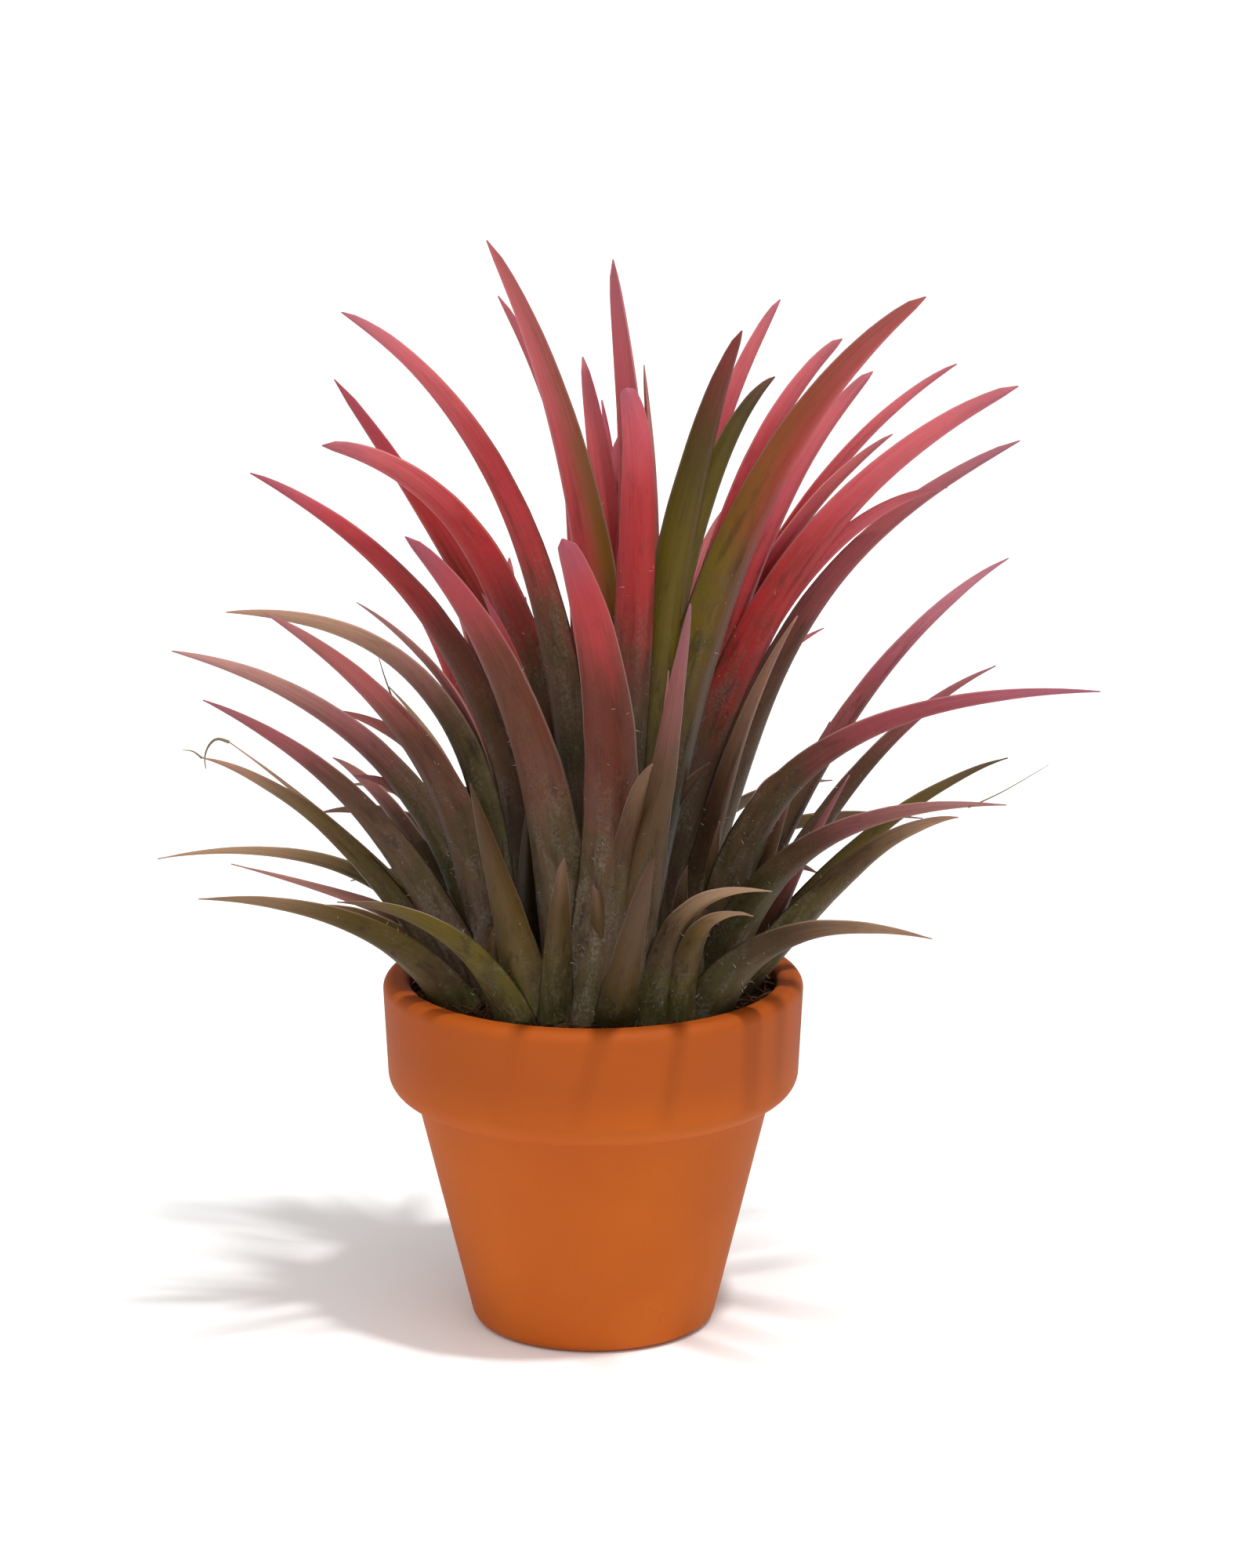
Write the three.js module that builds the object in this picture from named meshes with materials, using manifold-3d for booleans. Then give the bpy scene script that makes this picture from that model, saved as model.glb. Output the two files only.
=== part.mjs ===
// Sky plant: a clump of small grey-leaved tillandsia heads in a terracotta pot.
// Millimetres, +Z up, the front of the plant toward -Y, the pot standing on z = 0.

import * as THREE from "three";
import loadManifold from "manifold-3d";

const kernel = await loadManifold();
kernel.setup();

// Driving dimensions of the pot.
const rimRadius = 25;
const potHeight = 42.7;
const bandHeight = 14.3;
const bandBottom = potHeight - bandHeight;
const rimTaper = 0.5;
const rimWall = 3.2;
const rimEdgeRadius = 1.4;
const rimInnerEdgeRadius = 1;
const bandEdgeRadius = 2.9;
const bodyTopRadius = 21.1;
const bodyFootRadius = 14.7;
const footEdgeRadius = 1.7;
const floorThickness = 3.5;
const bodyWall = 2.6;
const bandWallTaper = 0.4;
const stepTop = bandBottom + 2.6;
const drainRadius = 4;

// Driving dimensions of the fill and of the clump.
const seatGap = 0.3;
const fillBottom = 5;
const fillTop = 37;
const fillShoulder = 1.5;
const pocketFloor = 31;
const ringRadius = 13;
const ringHeads = ["front", "right", "back_right", "back_left", "left"];
const ringStartDegrees = -79;
const coreRadius = 5.1;
const coreTop = 46;
const coreFootInset = 1.3;
const coreFootHeight = 2;
const coreShoulderInset = 1.9;
const coreShoulderHeight = 3.5;
const leafRootRadius = 2.6;
const leafRootHeight = 38.5;

// The front head is three shoots grown together: two smaller ones stand beside its own.
const sideShootRadius = 3.2;
const sideShoots = { front: [[-7.5, -14.4], [10.2, -12.8]] };

// Driving dimensions of a leaf.
const longStations = [0, 0.18, 0.36, 0.54, 0.7, 0.86, 1];
const shortStations = [0, 0.4, 0.75, 1];
const baseFlare = 0.25;
const baseFlareLength = 0.07;
const baseThickness = 1.8;
const tipThickness = 0.7;
const tipHalfWidth = 0.35;
const lowTaper = { height: 60, power: 0.8 };
const tallTaper = { height: 115, power: 0.5 };
const channelDepth = 0.5;
const faceTurnDegrees = 52;

const roundSides = 40;
const pocketSides = 16;
const coreSides = 12;
const simplifiedWithin = 0.06;

// Leaves that face the viewer, chosen one by one. Each row is a leaf: tip x, tip y, tip z,
// width, taper (low is blunt), bow (how late it bends out), lean and rise at its middle.
// A row may end with the x and y of its own root, where the leaf doesn't grow from the middle.
const shownLeaves = {
  mother: [
    [-29, 1, 122, 6.8, 0.5, 2, 1.6, 12],
    [-11, 0, 124, 5.4, 0.5, 3, 4.3, 3],
    [-12, -6, 131, 8.2, 0.5, 3.4, 4.1, -3],
    [-1.2, 12, 115, 7, 0.5, 2, 3.2, 0],
    [1, 16, 109, 3.6, 0.55, 1.6, 3, 5],
    [2.5, 8, 127, 8.2, 0.5, 1.4, 4.6, 1],
    [4, -11, 115, 5.8, 0.35, 1.4, 3, 13],
    [6, 6, 115, 3.8, 0.5, 1, 3, 0],
    [17, -8, 121, 7.8, 0.5, 2.8, 3.8, 4],
    [22, 10, 122, 6.4, 0.5, 1.2, -0.4, 10],
    [21, -2, 115, 6, 0.55, 1, -1, 14],
    [38, -9, 125, 8, 0.45, 2.6, 7, 8.2],
    [-10, -6, 74, 6.4, 0.7, 1.4, 0, 4],
    [-13, 4, 88, 6.4, 0.65, 1.6, 0, 4],
    [14, 2, 68, 6.4, 0.75, 1.4, 0, 4],
  ],
  front: [
    [-29, -24, 58, 5.2, 0.8, 1.4, 0, 4, -8.8, -15.6],
    [38, -36, 57, 6.8, 0.8, 1.8, 2, 4.4, 12.4, -14.2],
    [-21, -22, 100, 8, 0.45, 2.8, -2, 2, -2, -14],
    [-3, -28, 101, 8, 0.35, 2, 4, 1, -1.4, -16.4],
    [11, -30, 94, 6, 0.6, 1.6, 0, -5, 4, -14.8],
    [7, -31, 76, 5.4, 0.7, 2.6, 1, 4, 2, -16.2],
    [-3, -35, 66, 4.6, 0.75, 1.8, 0, 2, -4.2, -16.6],
    [7, -35, 66, 6, 0.6, 1.6, -1, -4, 3.2, -17],
    [20, -37, 63, 5.6, 0.8, 2.6, 1, 3, 6.8, -16.4],
    [18, -37, 60, 4.6, 0.8, 1.8, 0, 4, 9.8, -15.6],
    [-14, -20, 71, 7.4, 0.75, 1.6, 0, -3, -7, -14.4],
    [9, -10, 82, 4.6, 0.7, 1.6, 1, -1],
  ],
  right: [
    [49, 6, 92, 5.8, 0.65, 1.2, 0, 7.6],
    [57, -26, 83, 6.6, 0.65, 2, -1, 8.4],
    [47, -3, 81, 4.8, 0.7, 1, -1.6, 5.4],
    [46, -34, 72, 6, 0.75, 1.4, -2, 6],
    [49, 4, 68, 4.4, 0.75, 1, 0, 5],
    [42, -16, 66, 5.2, 0.75, 1, 2.3, 6],
    [28, 2, 73, 4.2, 0.75, 2.6, 3, -1],
    [25, -4, 70, 4, 0.75, 2.6, 3, 0],
    [30, -8, 69, 4.8, 0.75, 2.8, 3, -6],
  ],
  back_right: [
    [30, 24, 115, 6.4, 0.4, 1.6, 0, 11.4],
    [33, 12, 113, 5.6, 0.4, 1.4, 0, 9],
    [44, 30, 111, 5.2, 0.5, 1.6, 0, 10.4],
    [50, 8, 112, 7.8, 0.45, 2.4, 5, 7.8],
    [36, 20, 104, 6, 0.55, 1.6, 0, 9],
    [42, 12, 99, 5.6, 0.6, 1.4, 0, 13],
    [51, 17, 104, 7.4, 0.5, 3.4, 9.2, 3],
    [24, 5, 85, 5.4, 0.65, 3.2, 5, -4],
  ],
  back_left: [
    [-41, 17, 100, 8.4, 0.6, 1.6, 5.7, 6.8],
    [-31, 19, 111, 11, 0.5, 1.8, 12, -12],
    [-32, 10, 104.6, 8.6, 0.45, 1.5, 6, 13, -8.6, 8.2],
    [-8, 12, 86, 8, 0.6, 1.6, 1, 0],
  ],
  left: [
    [-51, -4, 58, 4.6, 0.8, 1.6, -1, 7.8],
    [-42, -10, 59, 5.2, 0.8, 2.4, 1, -0.2],
    [-33, -18, 56, 4.8, 0.8, 1.6, -2, 3, -16.2, -5.6],
    [-44, -33, 61, 6, 0.8, 1.5, -1, 3, -15.4, -9.2],
    [-45, -12, 72, 4.6, 0.75, 1, 0, 6],
    [-43, 0, 71, 2.6, 0.75, 1.8, 0, -1],
    [-44, -21, 81, 6.2, 0.7, 1.4, -1, 5],
    [-49, -4, 83, 6.8, 0.65, 1.4, 4, 7],
    [-31, 4, 68, 7, 0.75, 1.2, -0.2, 5.6],
    [-43, 3, 86, 7.4, 0.65, 1.3, 8, 12.4],
    [-37, -17, 90, 7.2, 0.65, 1.6, 3.6, 4],
    [-28, 8, 86, 5.4, 0.65, 2.6, 3, 6],
    [-24, 0, 78, 4.2, 0.7, 2.2, 2, 2],
  ],
};

// Leaves placed by rule: fans round the back, and short upright leaves in each heart.
// A fan gives its count, the bearings it runs between, and its low and high reach and height.
const leafFans = {
  mother: [{ count: 5, from: 60, to: 110, reach: [24, 14], height: [92, 106] }],
  back_right: [{ count: 9, from: 14, to: 104, reach: [36, 20], height: [58, 92] }],
  back_left: [{ count: 10, from: 80, to: 166, reach: [27, 20], height: [58, 86] }],
  right: [{ count: 3, from: 16, to: 46, reach: [14, 12], height: [58, 66] }],
  left: [{ count: 2, from: 150, to: 176, reach: [20, 16], height: [56, 66] }],
};
const fanLeaf = { width: [5, 6.4], bow: 1.8, lean: 0, rise: 7 };
const fanSpread = { bearing: 0.4, reach: 4, height: 8 };
const heartLeaf = {
  count: 5,
  reach: [3, 6],
  outward: 2,
  height: [50, 64],
  width: [4.4, 5.4],
  bow: 1.6,
  lean: 0,
  rise: 2,
};
const goldenDegrees = 137.5;

const terracotta = { name: "terracotta", color: 0xb9602a, roughness: 0.75 };
const coir = { name: "coir", color: 0x3a261a, roughness: 0.95 };
const leafSkin = { name: "leaf", color: 0x77684f, roughness: 0.6 };

const radians = THREE.MathUtils.degToRad;
const blend = THREE.MathUtils.lerp;

// A repeatable draw between 0 and 1 for each leaf number and purpose.
function draw(number, purpose) {
  const wave = Math.sin(number * 12.9898 + purpose * 78.233) * 43758.5453;
  return wave - Math.floor(wave);
}

function arc(centreRadius, centreHeight, radius, fromDegrees, toDegrees, steps) {
  const points = [];
  for (let i = 0; i <= steps; i += 1) {
    const angle = radians(blend(fromDegrees, toDegrees, i / steps));
    points.push(new THREE.Vector2(
      centreRadius + radius * Math.cos(angle),
      centreHeight + radius * Math.sin(angle),
    ));
  }
  return points;
}

function turned(points, sides) {
  const geometry = new THREE.LatheGeometry(points, sides);
  geometry.rotateX(Math.PI / 2);
  return geometry;
}

function solidOf(geometry) {
  const plain = welded(geometry);
  return new kernel.Manifold(new kernel.Mesh({
    numProp: 3,
    vertProperties: new Float32Array(plain.positions),
    triVerts: new Uint32Array(plain.triangles),
  }));
}

// Joins vertices that share a place and drops triangles that have no area.
function welded(geometry) {
  const places = geometry.getAttribute("position");
  const order = geometry.getIndex();
  const known = new Map();
  const positions = [];
  const numbers = [];
  for (let i = 0; i < places.count; i += 1) {
    const place = [places.getX(i), places.getY(i), places.getZ(i)];
    const key = place.map((value) => Math.round(value * 1e4)).join(" ");
    if (!known.has(key)) {
      known.set(key, positions.length / 3);
      positions.push(...place);
    }
    numbers.push(known.get(key));
  }
  const triangles = [];
  for (let i = 0; i < order.count; i += 3) {
    const [a, b, c] = [0, 1, 2].map((k) => numbers[order.getX(i + k)]);
    if (a !== b && b !== c && c !== a) {
      triangles.push(a, b, c);
    }
  }
  return { positions, triangles };
}

function geometryOf(solid) {
  const mesh = solid.getMesh();
  const geometry = new THREE.BufferGeometry();
  geometry.setAttribute("position", new THREE.BufferAttribute(new Float32Array(mesh.vertProperties), 3));
  geometry.setIndex(outerShell(mesh.vertProperties, mesh.triVerts));
  return geometry;
}

// Leaves that touch all round close off small pockets of air; their inner walls are left out.
function outerShell(positions, triangles) {
  const owner = Array.from({ length: positions.length / 3 }, (_, i) => i);
  const find = (i) => {
    while (owner[i] !== i) {
      i = owner[i];
    }
    return i;
  };
  for (let i = 0; i < triangles.length; i += 3) {
    owner[find(triangles[i])] = find(triangles[i + 1]);
    owner[find(triangles[i + 1])] = find(triangles[i + 2]);
  }
  const corner = (i) => new THREE.Vector3(...positions.slice(3 * i, 3 * i + 3));
  const volumes = new Map();
  for (let i = 0; i < triangles.length; i += 3) {
    const [a, b, c] = [0, 1, 2].map((k) => corner(triangles[i + k]));
    const shell = find(triangles[i]);
    volumes.set(shell, (volumes.get(shell) ?? 0) + a.dot(b.cross(c)));
  }
  return Array.from(triangles).filter((_, i) => volumes.get(find(triangles[i - (i % 3)])) > 0);
}

// The pot's inner wall: tapered in the body, stepped out behind the band.
function innerWall(height) {
  const bandInside = rimRadius - rimWall;
  const stepInside = bandInside - bandWallTaper;
  const bodyInside = bodyTopRadius - bodyWall;
  const floorInside = bodyFootRadius - bodyWall;
  if (height >= stepTop) {
    return blend(stepInside, bandInside, (height - stepTop) / (potHeight - stepTop));
  }
  if (height >= bandBottom) {
    return blend(bodyInside, stepInside, (height - bandBottom) / (stepTop - bandBottom));
  }
  return blend(floorInside, bodyInside, (height - floorThickness) / (bandBottom - floorThickness));
}

function potGeometry() {
  const bandRadius = rimRadius - rimTaper;
  const innerEdgeHeight = potHeight - rimInnerEdgeRadius;
  const inside = [innerEdgeHeight, stepTop, bandBottom, floorThickness];
  const points = [
    new THREE.Vector2(drainRadius, 0),
    ...arc(bodyFootRadius - footEdgeRadius, footEdgeRadius, footEdgeRadius, -90, -14, 3),
    new THREE.Vector2(bodyTopRadius, bandBottom),
    ...arc(bandRadius - bandEdgeRadius, bandBottom + bandEdgeRadius, bandEdgeRadius, -90, 0, 4),
    ...arc(rimRadius - rimEdgeRadius, potHeight - rimEdgeRadius, rimEdgeRadius, 0, 90, 4),
    ...arc(innerWall(potHeight) + rimInnerEdgeRadius, innerEdgeHeight, rimInnerEdgeRadius, 90, 150, 2),
    ...inside.map((height) => new THREE.Vector2(innerWall(height), height)),
    new THREE.Vector2(drainRadius, floorThickness),
    new THREE.Vector2(drainRadius, 0),
  ];
  return turned(points, roundSides);
}

function mediumGeometry(heads) {
  const heights = [fillBottom, bandBottom, stepTop, fillTop - fillShoulder];
  const points = [
    new THREE.Vector2(0, fillBottom),
    ...heights.map((height) => new THREE.Vector2(innerWall(height) - seatGap, height)),
    new THREE.Vector2(innerWall(fillTop) - seatGap - fillShoulder, fillTop),
    new THREE.Vector2(0, fillTop),
  ];
  let fill = solidOf(turned(points, roundSides));
  for (const head of heads) {
    fill = fill.subtract(joined(head, ({ x, y, radius }) => kernel.Manifold
      .cylinder(fillTop, radius + seatGap, radius + seatGap, pocketSides)
      .translate([x, y, pocketFloor])));
  }
  return geometryOf(fill);
}

// A form made at each shoot of a head, with the head's own form drawn out to the side ones.
function joined(head, formAt) {
  const [own, ...beside] = head.shoots.map(formAt);
  return kernel.Manifold.union([own, ...beside.map((other) => kernel.Manifold.hull([own, other]))]);
}

function headPlaces() {
  const heads = [headAt("mother", 0, [0, 0])];
  ringHeads.forEach((name, i) => {
    const bearing = radians(ringStartDegrees + (i * 360) / ringHeads.length);
    heads.push(headAt(name, ringRadius, [Math.cos(bearing), Math.sin(bearing)]));
  });
  return heads;
}

function headAt(name, reach, outward) {
  const [x, y] = [reach * outward[0], reach * outward[1]];
  const shoots = [{ x, y, radius: coreRadius }];
  for (const [sideX, sideY] of sideShoots[name] ?? []) {
    shoots.push({ x: sideX, y: sideY, radius: sideShootRadius });
  }
  return { name, x, y, outward, shoots };
}

function leafFrom([x, y, z, width, taper, bow, lean, rise, rootX, rootY]) {
  const root = rootX === undefined ? undefined : new THREE.Vector3(rootX, rootY, leafRootHeight);
  return { tip: new THREE.Vector3(x, y, z), width, taper, bow, lean, rise, root, stations: longStations };
}

// A taller leaf keeps its width further up.
function taperAt(height) {
  const part = THREE.MathUtils.inverseLerp(lowTaper.height, tallTaper.height, height);
  return blend(lowTaper.power, tallTaper.power, THREE.MathUtils.clamp(part, 0, 1));
}

// Where a leaf leaves its head: its own root, or the side of the head's middle it leans to.
function rootOf(head, leaf) {
  if (leaf.root) {
    return leaf.root;
  }
  const bearing = new THREE.Vector2(leaf.tip.x - head.x, leaf.tip.y - head.y).normalize();
  return new THREE.Vector3(
    head.x + leafRootRadius * bearing.x,
    head.y + leafRootRadius * bearing.y,
    leafRootHeight,
  );
}

function fanLeaves(head, fan, firstNumber) {
  const leaves = [];
  for (let i = 0; i < fan.count; i += 1) {
    const number = firstNumber + i;
    const level = ((i * 2) % 3) / 2;
    const place = i + 0.5 + fanSpread.bearing * (draw(number, 1) - 0.5);
    const bearing = radians(blend(fan.from, fan.to, place / fan.count));
    const reach = blend(...fan.reach, level) + fanSpread.reach * (draw(number, 2) - 0.5);
    const height = blend(...fan.height, level) + fanSpread.height * (draw(number, 3) - 0.5);
    leaves.push(leafFrom([
      head.x + reach * Math.cos(bearing),
      head.y + reach * Math.sin(bearing),
      height,
      blend(...fanLeaf.width, draw(number, 4)),
      taperAt(height),
      fanLeaf.bow,
      fanLeaf.lean,
      fanLeaf.rise,
    ]));
  }
  return leaves;
}

function heartOf(head, firstNumber) {
  const leaves = [];
  for (let i = 0; i < heartLeaf.count; i += 1) {
    const number = firstNumber + i;
    const bearing = radians(goldenDegrees * number);
    const reach = blend(...heartLeaf.reach, draw(number, 1));
    const height = blend(...heartLeaf.height, draw(number, 2));
    const leaf = leafFrom([
      head.x + heartLeaf.outward * head.outward[0] + reach * Math.cos(bearing),
      head.y + heartLeaf.outward * head.outward[1] + reach * Math.sin(bearing),
      height,
      blend(...heartLeaf.width, draw(number, 3)),
      taperAt(height),
      heartLeaf.bow,
      heartLeaf.lean,
      heartLeaf.rise,
    ]);
    leaves.push({ ...leaf, stations: shortStations });
  }
  return leaves;
}

function bladePoint(root, leaf, t) {
  const swing = 4 * t * (1 - t);
  const outward = t ** leaf.bow;
  return new THREE.Vector3(
    blend(root.x, leaf.tip.x, outward) + leaf.lean * swing,
    blend(root.y, leaf.tip.y, outward),
    blend(root.z, leaf.tip.z, t) + leaf.rise * swing,
  );
}

function bladeHalfWidth(leaf, t) {
  const flare = 1 + baseFlare * Math.exp(-t / baseFlareLength);
  return Math.max(tipHalfWidth, 0.5 * leaf.width * flare * (1 - t) ** leaf.taper);
}

// One leaf: a channelled section carried along its bent midrib.
function bladeGeometry(head, leaf) {
  const root = rootOf(head, leaf);
  const bearing = new THREE.Vector2(leaf.tip.x - root.x, leaf.tip.y - root.y).normalize();
  const turn = radians(-faceTurnDegrees * bearing.x);
  const positions = [];
  for (const t of leaf.stations) {
    const centre = bladePoint(root, leaf, t);
    const tangent = bladePoint(root, leaf, Math.min(1, t + 0.01))
      .sub(bladePoint(root, leaf, Math.max(0, t - 0.01)))
      .normalize();
    const level = new THREE.Vector3(-bearing.y, bearing.x, 0);
    level.addScaledVector(tangent, -level.dot(tangent)).normalize();
    const upper = new THREE.Vector3().crossVectors(tangent, level);
    const side = level.clone().multiplyScalar(Math.cos(turn)).addScaledVector(upper, Math.sin(turn));
    const inner = new THREE.Vector3().crossVectors(tangent, side);
    const half = bladeHalfWidth(leaf, t);
    const thick = blend(baseThickness, tipThickness, t) / 2;
    const edge = channelDepth * half;
    const ring = [
      [-half, edge],
      [-half / 2, edge / 4 - thick],
      [half / 2, edge / 4 - thick],
      [half, edge],
      [0, thick],
    ];
    for (const [across, out] of ring) {
      positions.push(...centre.clone().addScaledVector(side, across).addScaledVector(inner, out));
    }
  }
  const geometry = new THREE.BufferGeometry();
  geometry.setAttribute("position", new THREE.BufferAttribute(new Float32Array(positions), 3));
  geometry.setIndex(tubeTriangles(leaf.stations.length - 1));
  return geometry;
}

// Triangles of a closed tube of five-sided rings, capped across its channel at both ends.
function tubeTriangles(lengths) {
  const sides = 5;
  const triangles = [];
  for (let i = 0; i < lengths; i += 1) {
    for (let k = 0; k < sides; k += 1) {
      const a = i * sides + k;
      const b = i * sides + ((k + 1) % sides);
      triangles.push(a, b, b + sides, a, b + sides, a + sides);
    }
  }
  const cap = [[0, 4, 1], [1, 4, 2], [2, 4, 3]];
  const last = lengths * sides;
  for (const [a, b, c] of cap) {
    triangles.push(a, b, c, last + a, last + c, last + b);
  }
  return triangles;
}

function coreSolid({ x, y, radius }) {
  const bottom = pocketFloor + seatGap;
  const points = [
    new THREE.Vector2(0, bottom),
    new THREE.Vector2(radius - coreFootInset, bottom),
    new THREE.Vector2(radius, bottom + coreFootHeight),
    new THREE.Vector2(radius, leafRootHeight),
    new THREE.Vector2(radius - coreShoulderInset, leafRootHeight + coreShoulderHeight),
    new THREE.Vector2(0, coreTop),
  ];
  return solidOf(turned(points, coreSides).translate(x, y, 0));
}

function headGeometry(head, number) {
  const leaves = shownLeaves[head.name].map(leafFrom);
  for (const fan of leafFans[head.name] ?? []) {
    leaves.push(...fanLeaves(head, fan, 100 * number));
  }
  leaves.push(...heartOf(head, 100 * number + 50));
  const solids = leaves.map((leaf) => solidOf(bladeGeometry(head, leaf)));
  const whole = kernel.Manifold.union([joined(head, coreSolid), ...solids]);
  return geometryOf(whole.simplify(simplifiedWithin));
}

// Moves the whole plant sideways so that the middle of its outer box stands over the origin.
function centre(group) {
  const box = new THREE.Box3().setFromObject(group);
  const middle = box.getCenter(new THREE.Vector3());
  group.children.forEach((mesh) => mesh.geometry.translate(-middle.x, -middle.y, 0));
}

function piece(name, geometry, finish) {
  const mesh = new THREE.Mesh(geometry, new THREE.MeshStandardMaterial(finish));
  mesh.name = name;
  return mesh;
}

const plant = new THREE.Group();
plant.name = "sky_plant";
const heads = headPlaces();
plant.add(piece("pot", potGeometry(), terracotta));
plant.add(piece("medium", mediumGeometry(heads), coir));
heads.forEach((head, number) => {
  plant.add(piece(`head_${head.name}`, headGeometry(head, number), leafSkin));
});
centre(plant);

export default plant;
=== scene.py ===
import math

import bpy
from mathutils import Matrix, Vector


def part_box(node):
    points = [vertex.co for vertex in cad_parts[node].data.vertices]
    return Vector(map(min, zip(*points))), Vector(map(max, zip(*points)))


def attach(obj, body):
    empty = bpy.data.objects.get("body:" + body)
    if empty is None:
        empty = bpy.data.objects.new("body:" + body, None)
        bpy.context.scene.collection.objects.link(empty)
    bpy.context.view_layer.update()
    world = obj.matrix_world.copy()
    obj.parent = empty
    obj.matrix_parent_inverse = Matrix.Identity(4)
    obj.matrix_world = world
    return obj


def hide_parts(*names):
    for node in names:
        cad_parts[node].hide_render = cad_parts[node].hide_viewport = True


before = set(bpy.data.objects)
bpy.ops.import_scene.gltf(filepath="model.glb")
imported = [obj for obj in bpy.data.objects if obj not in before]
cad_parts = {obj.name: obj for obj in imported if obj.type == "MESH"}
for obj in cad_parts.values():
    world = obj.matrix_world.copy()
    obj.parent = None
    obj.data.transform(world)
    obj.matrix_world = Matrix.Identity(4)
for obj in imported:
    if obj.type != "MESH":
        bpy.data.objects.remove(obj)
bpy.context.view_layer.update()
potLow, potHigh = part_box("pot")
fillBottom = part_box("medium")[0].z
mm = 0.001  # sizes are written in millimetres, and Blender works in metres
axisX = (potLow.x + potHigh.x) / 2  # the pot's own axis
axisY = (potLow.y + potHigh.y) / 2
potHeight = potHigh.z
rimRadius = (potHigh.x - potLow.x) / 2
print(len(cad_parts), "nodes, pot axis at", round(axisX / mm, 2), round(axisY / mm, 2), "mm")


class Value:  # a node's output, which works in sums
    def __init__(self, nodes, socket):
        self.nodes = nodes
        self.socket = socket

    def maths(self, operation, first, second):
        return self.nodes.add("ShaderNodeMath", {"operation": operation}, {0: first, 1: second})

    def __add__(self, other):
        return self.maths("ADD", self, other)

    def __radd__(self, other):
        return self.maths("ADD", other, self)

    def __sub__(self, other):
        return self.maths("SUBTRACT", self, other)

    def __rsub__(self, other):
        return self.maths("SUBTRACT", other, self)

    def __mul__(self, other):
        return self.maths("MULTIPLY", self, other)

    def __rmul__(self, other):
        return self.maths("MULTIPLY", other, self)

    def __truediv__(self, other):
        return self.maths("DIVIDE", self, other)

    def __pow__(self, other):
        return self.maths("POWER", self, other)

    def atLeast(self, other):
        return self.maths("MAXIMUM", self, other)

    def atMost(self, other):
        return self.maths("MINIMUM", self, other)

    def isOver(self, other):
        return self.maths("GREATER_THAN", self, other)

    def also(self, name):  # another output of the same node
        return Value(self.nodes, self.socket.node.outputs[name])


class Nodes:  # adds nodes to one tree and links them
    def __init__(self, tree):
        self.tree = tree

    def add(self, kind, settings=None, inputs=None, output=0):
        node = self.tree.nodes.new(kind)
        for name, value in (settings or {}).items():
            setattr(node, name, value)
        for name, value in (inputs or {}).items():
            if isinstance(value, Value):
                self.tree.links.new(value.socket, node.inputs[name])
            else:
                node.inputs[name].default_value = value
        return Value(self, node.outputs[output]) if node.outputs else None

    def one(self, operation, value):  # a sum with one input
        return self.add("ShaderNodeMath", {"operation": operation}, {0: value})

    def vector(self, operation, first, second=None):
        inputs = {0: first} if second is None else {0: first, 1: second}
        return self.add("ShaderNodeVectorMath", {"operation": operation}, inputs)

    def dot(self, first, second):
        return self.add("ShaderNodeVectorMath", {"operation": "DOT_PRODUCT"}, {0: first, 1: second}, "Value")

    def scaled(self, vector, factor):
        return self.add("ShaderNodeVectorMath", {"operation": "SCALE"}, {0: vector, "Scale": factor})

    def join(self, x, y, z):
        return self.add("ShaderNodeCombineXYZ", None, {0: x, 1: y, 2: z})

    def split(self, vector):
        x = self.add("ShaderNodeSeparateXYZ", None, {0: vector})
        return x, x.also("Y"), x.also("Z")

    def ramp(self, value, low, high, first=0.0, last=1.0):  # a soft step
        return self.add("ShaderNodeMapRange", {"interpolation_type": "SMOOTHSTEP"},
                        {0: value, 1: low, 2: high, 3: first, 4: last})

    def mixed(self, factor, first, second):  # of two colours
        return self.add("ShaderNodeMix", {"data_type": "RGBA"}, {0: factor, 6: first, 7: second}, 2)

    def noise(self, vector, scale, detail=3.0, roughness=0.55, output="Fac"):
        return self.add("ShaderNodeTexNoise", None,
                        {"Vector": vector, "Scale": scale, "Detail": detail, "Roughness": roughness}, output)

    def objectPlace(self):
        return self.add("ShaderNodeTexCoord", None, None, "Object")

    def attribute(self, name, output="Fac"):  # in a material
        return self.add("ShaderNodeAttribute", {"attribute_name": name}, None, output)

    def bump(self, height, strength, depth):
        return self.add("ShaderNodeBump", None, {"Strength": strength, "Distance": depth, "Height": height})

    def together(self, first, second):  # two geometries as one
        both = self.add("GeometryNodeJoinGeometry", None, {0: first})
        self.tree.links.new(second.socket, both.socket.node.inputs[0])
        return both


def colour(red, green, blue):  # 0 to 255, as seen on a screen
    return tuple((c / 255) ** 2.2 for c in (red, green, blue)) + (1.0,)


def between(pair, part):
    return pair[0] + (pair[1] - pair[0]) * part


def newMaterial(name, look):
    material = bpy.data.materials.new(name)
    material.use_nodes = True
    nodes = Nodes(material.node_tree)
    shader = material.node_tree.nodes["Principled BSDF"]
    for socket, value in look(nodes).items():
        if isinstance(value, Value):
            material.node_tree.links.new(value.socket, shader.inputs[socket])
        else:
            shader.inputs[socket].default_value = value
    return material


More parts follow.
